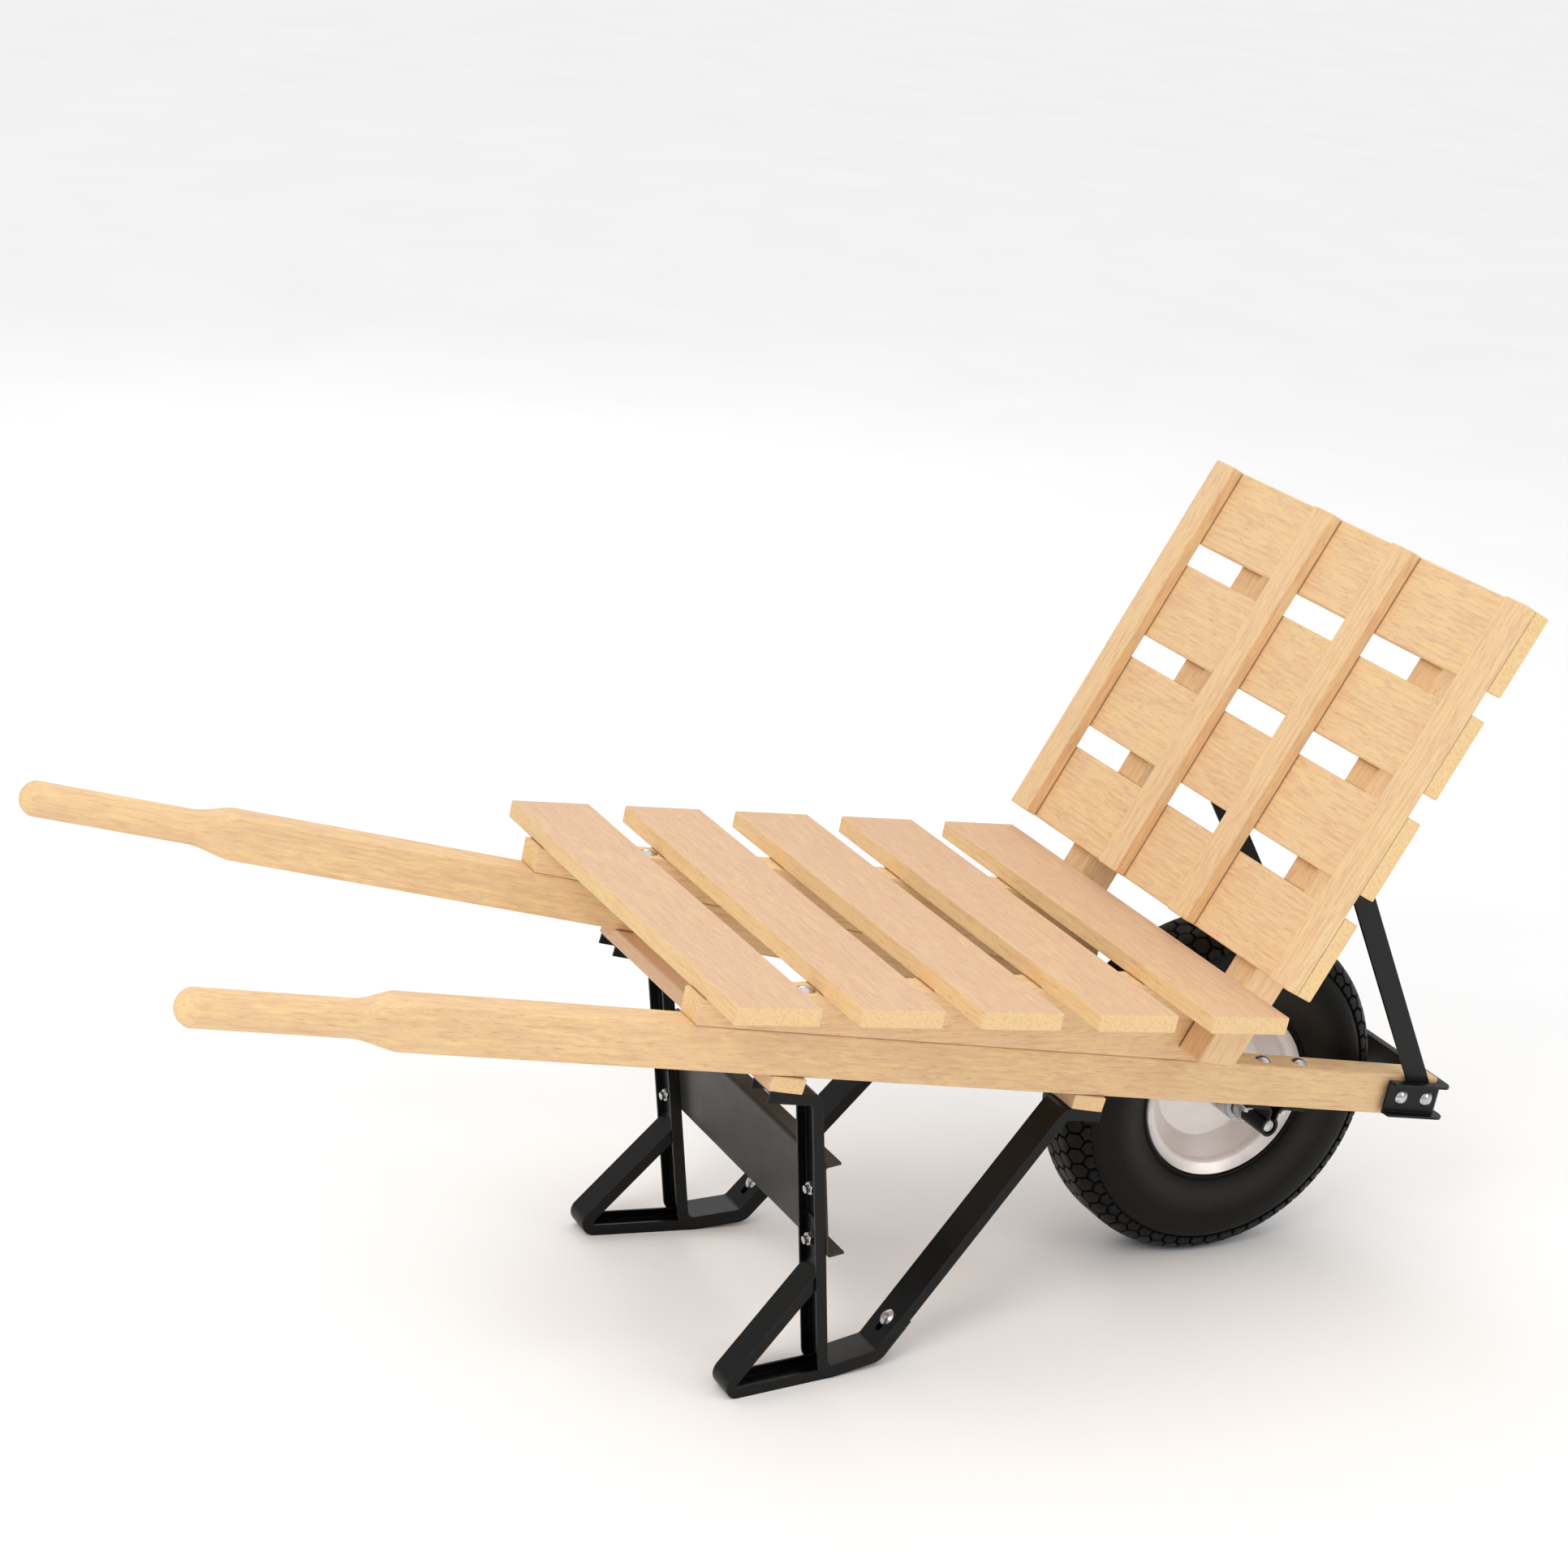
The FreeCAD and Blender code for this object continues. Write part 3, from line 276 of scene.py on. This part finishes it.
BEIGE_OAK = (0.710, 0.480, 0.318)
HANDLE_OAK = (0.790, 0.550, 0.308)
WARM_OAK = (0.850, 0.600, 0.352)
GOLD_OAK = (0.900, 0.650, 0.310)
ROSY_OAK = (0.760, 0.460, 0.270)
DEEP_OAK = (0.640, 0.350, 0.175)
PORE_OAK = (0.460, 0.225, 0.100)
RINGS_PER_METRE = 165.0
WOOD_EDGE = 0.0016
WOOD_SEAM_REACH = 0.0035
STEEL_EDGE = 0.0011
ZINC_EDGE = 0.0006
ZINC_SEAM_REACH = 0.003
RIM_EDGE = 0.0010
TURNED_EDGE = 0.0007
MOULD_RING_SPACING = 0.0016


def scaled(colour, factor):
    return tuple(min(1.0, channel * factor) for channel in colour)


def wood(name, grain, broad, seed, pale, gold, figure, seam_shade):
    """Clear-sealed pale hardwood whose fibres run along grain.

    broad is the normal of a board's broad faces, or None for a piece that is treated as square. gold is how
    strong the yellow patches are, figure how strong the growth rings are, and seam_shade how strong the
    painted shade is where another piece comes close to it.
    """
    graph = Graph(name)
    place = graph.place()
    side = grain.cross(UP if abs(grain.z) < 0.9 else LEFT).normalized()
    third = grain.cross(side)
    along, across, deepness = (graph.dot(place, direction) for direction in (grain, side, third))
    timber = graph.node("ShaderNodeCombineXYZ", along, across, deepness)
    shift = (0.37 * seed, 1.93 * seed, 0.71 * seed)

    def fibrous(length_scale, width_scale, *settings):
        """Noise drawn out along the fibres; the scales are per metre, along the fibres and across them."""
        drawn_out = graph.stretched(timber, (length_scale, width_scale, width_scale), shift)
        return graph.noise(drawn_out, 1.0, *settings)

    # Growth rings round a pith outside the board, bent by slow noise
    pith = (0.0, 0.11 + 0.02 * math.sin(seed), 0.05 * math.cos(2.1 * seed))
    offset = graph.node("ShaderNodeVectorMath", timber, pith, operation="ADD")
    flat = graph.node("ShaderNodeVectorMath", offset, (0.05, 1.0, 1.0), operation="MULTIPLY")
    distance = graph.node("ShaderNodeVectorMath", flat, operation="LENGTH", output="Value")
    wander = fibrous(2.2, 7.0, 2.0)
    bent = graph.math("MULTIPLY_ADD", wander, 0.034, distance)
    phase = graph.math("FRACT", graph.product(bent, RINGS_PER_METRE))
    late = graph.level(phase, 0.35, 0.95)
    early = graph.level(phase, 0.0, 0.10, 1.0, 0.0)
    rings = graph.math("MAXIMUM", graph.math("POWER", late, 2.2), early)
    fading = fibrous(9.0, 45.0, 3.0)
    rings = graph.product(rings, graph.level(fading, 0.42, 0.68))

    cloud = fibrous(7.0, 26.0, 4.0, 0.55, 0.5)
    flame = fibrous(30.0, 135.0, 6.0, 0.66, 0.7)
    streak = fibrous(26.0, 330.0, 5.0, 0.62, 0.3)
    fibre = fibrous(90.0, 1300.0, 3.0, 0.6)
    pores = graph.level(fibrous(60.0, 800.0, 2.0), 0.60, 0.70)

    patches = graph.level(cloud, 0.34, 0.62, 0.25 * gold, gold)
    colour = graph.mix(graph.product(graph.level(flame, 0.44, 0.63), patches), pale, GOLD_OAK)
    colour = graph.mix(graph.level(flame, 0.48, 0.34, 0.0, 0.55), colour, ROSY_OAK)
    # Painted light: the ends, and a board's narrow edges, are painted yellower and lighter than the rest, as
    # where the light falls on them
    if broad is None:
        lit_narrow_faces = graph.level(graph.math("ABSOLUTE", graph.dot(graph.face_normal(), grain)), 0.40, 0.90)
    else:
        lit_narrow_faces = graph.level(graph.math("ABSOLUTE", graph.dot(graph.face_normal(), broad)), 0.90, 0.50)
    colour = graph.mix(graph.product(lit_narrow_faces, 0.66), colour, GOLD_OAK)
    colour = graph.mix(graph.level(streak, 0.48, 0.76, 0.0, 0.56), colour, DEEP_OAK)
    colour = graph.mix(graph.product(rings, figure), colour, DEEP_OAK)
    colour = graph.mix(graph.product(pores, 0.40), colour, PORE_OAK)
    rounded, edge = graph.soft_edge(WOOD_EDGE)
    handled = graph.noise(place, 60.0, 3.0)
    # Edges painted lighter: partly wear where hands rub, partly a painted highlight
    worn_and_highlit = graph.product(edge, graph.level(handled, 0.3, 0.65, 0.10, 0.45))
    colour = graph.mix(worn_and_highlit, colour, scaled(pale, 1.08))
    # Painted shade: the wood is darkened where another piece comes close
    colour = graph.painted_crevice_shade(colour, scaled(DEEP_OAK, 0.30), WOOD_SEAM_REACH, seam_shade)
    height = graph.math("MULTIPLY_ADD", pores, -0.6, graph.math("MULTIPLY_ADD", streak, 0.5, fibre))
    roughness = graph.level(streak, 0.3, 0.75, 0.50, 0.64)
    graph.finish(colour, roughness, normal=graph.bump(height, 0.00018, 0.35, rounded), specular=0.28)
    return graph.material


def powder_coat(name, colour, seed):
    """Satin black powder coat: fine orange peel, a film of dust, scuffs, and edges painted lighter, partly
    rubbed wear and partly a painted highlight.
    """
    graph = Graph(name)
    place = graph.stretched(graph.place(), (1, 1, 1), (seed, seed * 0.7, seed * 0.3))
    rounded, edge = graph.soft_edge(STEEL_EDGE)
    peel = graph.noise(place, 620.0, 2.0, 0.5)
    dust = graph.noise(place, 14.0, 5.0, 0.62)
    scuff = graph.noise(graph.stretched(place, (1.0, 1.0, 0.35)), 95.0, 5.0, 0.7)
    rubbed_and_highlit = graph.product(edge, graph.level(scuff, 0.42, 0.62, 0.10, 0.62))
    dusty = tuple(0.8 * channel + 0.004 for channel in colour)
    shade = graph.mix(graph.level(dust, 0.42, 0.70, 0.0, 0.55), colour, dusty)
    # Edges painted lighter grey: partly rubbed wear, partly a painted highlight
    shade = graph.mix(rubbed_and_highlit, shade, (0.105, 0.102, 0.100))
    marks = graph.level(scuff, 0.66, 0.74, 0.0, 0.35)
    shade = graph.mix(marks, shade, (0.018, 0.0175, 0.017))
    roughness = graph.math("ADD", graph.level(dust, 0.35, 0.7, 0.26, 0.40), graph.product(peel, 0.06))
    graph.finish(shade, roughness, normal=graph.bump(peel, 0.00012, 0.45, rounded), specular=0.20)
    return graph.material


def zinc(name, base, seed):
    """Bright zinc plate with a cloudy finish, small pits and faint turning marks, a painted highlight on the
    edges and painted shade in the crevices.
    """
    graph = Graph(name)
    place = graph.stretched(graph.place(), (1, 1, 1), (seed, 0.3 * seed, 0.9 * seed))
    rounded, edge = graph.soft_edge(ZINC_EDGE)
    cloud = graph.noise(place, 180.0, 4.0, 0.6)
    pits = graph.level(graph.noise(place, 1400.0, 2.0), 0.68, 0.80)
    fine = graph.noise(graph.stretched(place, (1.0, 1.0, 6.0)), 700.0, 2.0)
    shade = graph.mix(graph.level(cloud, 0.35, 0.68), base, scaled(base, 0.66))
    shade = graph.mix(graph.product(pits, 0.5), shade, (0.20, 0.19, 0.18))
    # Painted highlight: edges painted brighter than the plate
    shade = graph.mix(graph.product(edge, 0.5), shade, scaled(base, 1.15))
    # Painted shade: the zinc is darkened where another surface comes close
    shade = graph.painted_crevice_shade(shade, (0.03, 0.028, 0.026), ZINC_SEAM_REACH, 0.85)
    roughness = graph.level(cloud, 0.3, 0.7, 0.18, 0.36)
    graph.finish(shade, roughness, metallic=1.0, normal=graph.bump(fine, 0.00008, 0.35, rounded))
    return graph.material


def wheel_space(graph):
    """Distance from the wheel's axis, angle round it and distance along it, at rest."""
    low, high = (Vector(corner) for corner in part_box("tyre"))
    moved = graph.node("ShaderNodeVectorMath", graph.place(), tuple((low + high) / 2), operation="SUBTRACT")
    parts = graph.tree.nodes.new("ShaderNodeSeparateXYZ")
    graph.set(parts.inputs[0], moved)
    x, y, z = parts.outputs
    radius = graph.math("SQRT", graph.math("ADD", graph.product(x, x), graph.product(z, z)))
    return radius, graph.math("ARCTAN2", z, x), y


def rim_paint():
    """Satin silver paint over pressed steel: faint spun rings, fine flake, and road dirt toward the bead."""
    graph = Graph("rim_silver")
    radius, angle, y = wheel_space(graph)
    rounded = graph.soft_edge(RIM_EDGE)[0]
    lathe = graph.node("ShaderNodeCombineXYZ", graph.product(radius, 1300.0), graph.product(angle, 1.5),
                       graph.product(y, 90.0))
    spun = graph.noise(lathe, 1.0, 3.0)
    flake = graph.noise(graph.place(), 2600.0, 1.0)
    cloud = graph.noise(graph.place(), 22.0, 4.0, 0.6)
    shade = graph.mix(graph.level(cloud, 0.35, 0.7), (0.93, 0.87, 0.845), (0.84, 0.785, 0.76))
    shade = graph.mix(graph.level(flake, 0.6, 0.75, 0.0, 0.25), shade, (0.97, 0.94, 0.93))
    dirt = graph.product(graph.level(radius, 0.088, 0.097), graph.level(cloud, 0.4, 0.65, 0.15, 0.55))
    shade = graph.mix(dirt, shade, (0.16, 0.145, 0.13))
    roughness = graph.math("ADD", graph.level(cloud, 0.3, 0.7, 0.24, 0.34), graph.product(spun, 0.10))
    normal = graph.bump(spun, 0.00012, 0.35, rounded)
    graph.finish(shade, roughness, metallic=0.3, normal=normal, coat=(0.25, 0.2))
    return graph.material


def tyre_rubber():
    """Black rubber: fine grain, mould rings and a painted highlight band above the bead, pale dust in the
    grooves.
    """
    graph = Graph("tyre_rubber")
    radius, _, y = wheel_space(graph)
    grain = graph.noise(graph.place(), 900.0, 3.0, 0.6)
    cloud = graph.noise(graph.place(), 24.0, 5.0, 0.62)
    blotch = graph.noise(graph.place(), 7.0, 3.0, 0.5)
    beyond = graph.math("MAXIMUM", graph.math("SUBTRACT", graph.math("ABSOLUTE", y), SHOULDER_START), 0.0)
    rise = graph.math("SUBTRACT", radius, SHOULDER_CENTRE)
    swell = graph.math("ADD", graph.product(rise, rise), graph.product(beyond, beyond))
    groove = graph.level(graph.math("SQRT", swell), SHOULDER_RADIUS - 0.0025, SHOULDER_RADIUS - 0.0042)
    on_tread = graph.level(radius, 0.166, 0.171)
    settled = graph.level(cloud, 0.40, 0.66, 0.0, 0.22)
    dust = graph.product(graph.product(groove, on_tread), settled)
    shade = graph.mix(graph.level(cloud, 0.35, 0.70), (0.0050, 0.0047, 0.0043), (0.0080, 0.0075, 0.0068))
    shade = graph.mix(graph.level(blotch, 0.55, 0.75, 0.0, 0.25), shade, (0.013, 0.0118, 0.0102))
    shade = graph.mix(dust, shade, (0.030, 0.027, 0.023))
    # Painted highlight: a brownish band painted on the sidewall above the bead
    sidewall_highlight_band = graph.product(graph.level(radius, 0.103, 0.114), graph.level(radius, 0.140, 0.122))
    shade = graph.mix(graph.product(sidewall_highlight_band, 0.65), shade, (0.031, 0.0265, 0.0225))
    rings = graph.math("SINE", graph.product(radius, 2 * math.pi / MOULD_RING_SPACING))
    band = graph.product(graph.level(radius, 0.1005, 0.1020), graph.level(radius, 0.1120, 0.1100))
    height = graph.math("MULTIPLY_ADD", graph.product(rings, band), 0.9, grain)
    roughness = graph.math("ADD", graph.level(cloud, 0.3, 0.7, 0.34, 0.46), graph.product(grain, 0.08))
    graph.finish(shade, roughness, normal=graph.bump(height, 0.00020, 0.4), specular=0.13)
    return graph.material


def plain_steel():
    """Turned steel of the hub, axle and collars: fine turning rings and light oil staining."""
    graph = Graph("turned_steel")
    radius, _, y = wheel_space(graph)
    rounded = graph.soft_edge(TURNED_EDGE)[0]
    lathe = graph.node("ShaderNodeCombineXYZ", graph.product(y, 1500.0), graph.product(radius, 1500.0))
    turning = graph.noise(lathe, 1.0, 2.0)
    stain = graph.noise(graph.place(), 70.0, 5.0, 0.65)
    shade = graph.mix(graph.level(stain, 0.38, 0.68), (0.62, 0.63, 0.64), (0.30, 0.29, 0.28))
    roughness = graph.level(stain, 0.3, 0.7, 0.22, 0.42)
    graph.finish(shade, roughness, metallic=1.0, normal=graph.bump(turning, 0.00010, 0.4, rounded))
    return graph.material


# ---- Tyre with its tread ---------------------------------------------------------------------------------

# Profiles are given as radius and distance from the wheel's middle plane; a span is measured from that
# plane along the tread's surface.
TREAD_PITCHES = 60
CASING_STEPS = 3 * TREAD_PITCHES
CLEARANCE = 0.0001
SMOOTH_ANGLE = 40.0
ROW_SPACING = 0.0173
GROOVE_DEPTH = 0.0045
SHOULDER_START = 0.0161
SHOULDER_RADIUS = 0.0284
SHOULDER_CENTRE = 0.1626
SHOULDER_SPAN = 0.0345
BLOCK_DRAFT = 0.0006
BLOCK_CHAMFER = 0.0006
BLOCK_ROOT = 0.0006
BLOCK_EDGE_PARTS = 2
SHOULDER_POINTS = 9
CROWN_OFFSETS = (0.0107, 0.0054)
BEAD = [(0.0846, 0.020), (0.0846, 0.029), (0.0900, 0.0315), (0.0973, 0.0350), (0.0985, 0.0378),
        (0.1000, 0.0382), (0.1010, 0.0372), (0.1020, 0.0372), (0.1030, 0.0386)]
WALL_POINTS = 15
WALL_START = 0.1042
WALL_END = 0.1650
WALL_MIDDLE = 0.1423
WALL_HALF_WIDTH = 0.0490
WALL_CURVE = 6.4
# The inside of the casing, from bead to crown
LINING = [(0.1030, 0.0240), (0.1180, 0.0368), (0.1458, 0.0420), (0.1650, 0.0351), (0.1780, 0.0228),
          (0.1820, 0.0100)]
# Corners of a block as share of a pitch round the wheel, and span
HEXAGON = [(0.44, 0.0051), (0.0, 0.0101), (-0.44, 0.0051), (-0.44, -0.0051), (0.0, -0.0101), (0.44, -0.0051)]
LUG = [(0.5, 0.0419), (0.94, 0.0470), (0.88, 0.0535), (0.62, 0.0540), (0.5, 0.0524), (0.38, 0.0540),
       (0.12, 0.0535), (0.06, 0.0470)]


def crown_point(span, depth, radius):
    """Radius and distance from the middle plane of the point at a span, depth below the tread's surface."""
    side = math.copysign(1.0, span)
    flat = min(abs(span), SHOULDER_START)
    turn = (abs(span) - flat) / SHOULDER_RADIUS
    reach = SHOULDER_RADIUS - depth
    return (radius - SHOULDER_RADIUS + reach * math.cos(turn), side * (flat + reach * math.sin(turn)))


def tyre_section(radius):
    """Closed cross-section: beads, walls, the tread's floor between the blocks, and the lining inside."""
    wall = []
    for step in range(WALL_POINTS):
        wall_radius = WALL_START + (WALL_END - WALL_START) * step / (WALL_POINTS - 1)
        wall.append((wall_radius, WALL_HALF_WIDTH - WALL_CURVE * (wall_radius - WALL_MIDDLE) ** 2))
    shares = [1 - step / (SHOULDER_POINTS - 1) for step in range(SHOULDER_POINTS)]
    shoulder = [crown_point(SHOULDER_START + SHOULDER_SPAN * share, GROOVE_DEPTH, radius) for share in shares]
    floor_radius = radius - GROOVE_DEPTH
    crown = [(floor_radius, offset) for offset in CROWN_OFFSETS]
    side = BEAD + wall + shoulder + crown
    outside = side + [(floor_radius, 0.0)] + [(reach, -offset) for reach, offset in reversed(side)]
    return outside + [(reach, -offset) for reach, offset in LINING] + LINING[::-1]


def block_outlines():
    """Outlines of one pitch of the tread: five rows of hexagons, every other one staggered, and two lugs."""
    blocks = [HEXAGON]
    for side in (1, -1):
        blocks.append([(u + 0.5, v + side * ROW_SPACING) for u, v in HEXAGON])
        blocks.append([(u, v + side * 2 * ROW_SPACING) for u, v in HEXAGON])
        blocks.append([(u, side * v) for u, v in LUG])
    return blocks


def middle_of(outline):
    """Average of the outline's corners."""
    return (sum(u for u, v in outline) / len(outline), sum(v for u, v in outline) / len(outline))


def divided(outline, parts):
    """The outline with every edge split into parts."""
    result = []
    for (u, v), (next_u, next_v) in zip(outline, outline[1:] + outline[:1]):
        for part in range(parts):
            share = part / parts
            result.append((u + (next_u - u) * share, v + (next_v - v) * share))
    return result


def shrunk(outline, amount, pitch_length):
    """The outline with each corner pulled toward its middle by amount metres, or away if it is negative."""
    middle_u, middle_v = middle_of(outline)
    result = []
    for u, v in outline:
        du = (u - middle_u) * pitch_length
        dv = v - middle_v
        length = math.hypot(du, dv)
        keep = max(0.0, 1 - amount / length)
        result.append((middle_u + du * keep / pitch_length, middle_v + dv * keep))
    return result


def wheel_point(centre, reach, angle, offset):
    """A point on the wheel, from its distance to the axis, its angle and its offset along the axis."""
    return (centre.x + reach * math.cos(angle), centre.y + offset, centre.z + reach * math.sin(angle))


def add_block(mesh, outline, pitch_start, pitch_angle, radius, centre):
    """One raised block: its foot is sunk in the tread's floor, its top follows the tyre and is chamfered."""
    pitch_length = pitch_angle * radius
    middle_u, middle_v = middle_of(outline)

    def vertex(u, v, depth):
        reach, offset = crown_point(v, depth, radius)
        return mesh.verts.new(wheel_point(centre, reach, pitch_start + u * pitch_angle, offset))

    corners = divided(outline, BLOCK_EDGE_PARTS)
    foot = shrunk(corners, -BLOCK_DRAFT, pitch_length)
    top = shrunk(corners, BLOCK_CHAMFER, pitch_length)
    inner = [((middle_u + u) / 2, (middle_v + v) / 2) for u, v in top]
    layers = [(foot, GROOVE_DEPTH + BLOCK_ROOT), (corners, BLOCK_CHAMFER), (top, 0.0), (inner, 0.0)]
    rings = [[vertex(u, v, depth) for u, v in points] for points, depth in layers]
    hub = vertex(middle_u, middle_v, 0.0)
    mesh.faces.new(rings[0])
    for index in range(len(corners)):
        after = (index + 1) % len(corners)
        for lower, upper in zip(rings, rings[1:]):
            mesh.faces.new((lower[index], lower[after], upper[after], upper[index]))
        mesh.faces.new((rings[-1][index], rings[-1][after], hub))


def add_casing(mesh, radius, centre):
    """The cross-section carried round the wheel."""
    section = tyre_section(radius)
    rings = []
    for step in range(CASING_STEPS):
        angle = 2 * math.pi * step / CASING_STEPS
        rings.append([mesh.verts.new(wheel_point(centre, reach, angle, offset)) for reach, offset in section])
    for step, here in enumerate(rings):
        there = rings[(step + 1) % CASING_STEPS]
        for index in range(len(section)):
            after = (index + 1) % len(section)
            mesh.faces.new((here[index], here[after], there[after], there[index]))


def add_tread(mesh, radius, centre):
    """Every block of the tread, pitch by pitch."""
    pitch_angle = 2 * math.pi / TREAD_PITCHES
    for pitch in range(TREAD_PITCHES):
        for outline in block_outlines():
            add_block(mesh, outline, pitch * pitch_angle, pitch_angle, radius, centre)


def smooth_by_angle(data, degrees):
    """Shade a mesh smooth, apart from its edges sharper than degrees."""
    data.polygons.foreach_set("use_smooth", [True] * len(data.polygons))
    data.set_sharp_from_angle(angle=math.radians(degrees))


def add_tyre():
    """The tyre with its tread blocks, in the place of the plain CAD casing."""
    low, high = (Vector(corner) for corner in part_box("tyre"))
    centre = (low + high) / 2
    radius = (high.z - low.z) / 2 - CLEARANCE
    mesh = bmesh.new()
    add_casing(mesh, radius, centre)
    add_tread(mesh, radius, centre)
    bmesh.ops.recalc_face_normals(mesh, faces=mesh.faces)
    data = bpy.data.meshes.new("tyre_treaded")
    mesh.to_mesh(data)
    mesh.free()
    piece = bpy.data.objects.new("tyre_treaded", data)
    bpy.context.scene.collection.objects.link(piece)
    data.materials.append(tyre_rubber())
    smooth_by_angle(data, SMOOTH_ANGLE)
    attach(piece, "wheel")
    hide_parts("tyre")


# ---- Materials on the CAD nodes --------------------------------------------------------------------------

def grain_of(name):
    """Direction of the wood fibres in a node."""
    side = 1 if name.endswith("left") else -1
    if name.startswith("handle"):
        return handle_forward(side)
    if name.startswith("riser"):
        return (BED_FORWARD - LEFT * side * math.tan(HANDLE_YAW)).normalized()
    if name.startswith(("dash_batten", "dash_post")):
        return DASH_UP
    return LEFT


def broad_face_of(name):
    """Normal of a slat's or board's broad faces, or None for every other piece."""
    if name.startswith("bed_slat"):
        return BED_UP
    if name.startswith("dash_board"):
        return DASH_FORWARD
    return None


def wood_look(name):
    """Base colour of a wooden node, and the strength of its yellow patches, its rings and the painted shade
    at its seams.
    """
    if name.startswith(("bed_slat", "crossbar")):
        return BEIGE_OAK, 0.40, 0.14, 0.65
    if name.startswith("handle"):
        return HANDLE_OAK, 0.85, 0.34, 0.3
    return WARM_OAK, 0.85, 0.34, 0.65


def paint(name, material):
    """Put a material in every slot of a node's mesh."""
    data = frame["nodes"][name].data
    if len(data.materials) == 0:
        data.materials.append(material)
    for index in range(len(data.materials)):
        data.materials[index] = material


def paint_nodes():
    """Give every node its finish; each wooden one has a material of its own, so that no grain repeats."""
    slots = {part["node"]: part["material_slot"] for part in frame["record"]["subparts"]}
    black = powder_coat("black_powder_coat", (0.0026, 0.0025, 0.0024), 1.0)
    satin = powder_coat("black_powder_coat_plate", (0.030, 0.0290, 0.0280), 2.3)
    bright = zinc("zinc_plate", (0.66, 0.665, 0.67), 0.4)
    steel = plain_steel()
    silver = rim_paint()
    black_rubber = tyre_rubber()
    for seed, name in enumerate(sorted(slots)):
        slot = slots[name]
        if slot == "wood":
            paint(name, wood("oak_" + name, grain_of(name), broad_face_of(name), 1.0 + 0.618 * seed,
                             *wood_look(name)))
        elif slot == "black_steel":
            paint(name, satin if name == "leg_cross_brace" else black)
        elif slot == "zinc":
            paint(name, bright)
        elif slot == "rim_silver":
            paint(name, silver)
        elif slot == "bare_steel":
            paint(name, steel)
        else:
            paint(name, black_rubber)


add_camera()
add_studio()
add_floor()
paint_nodes()
add_tyre()
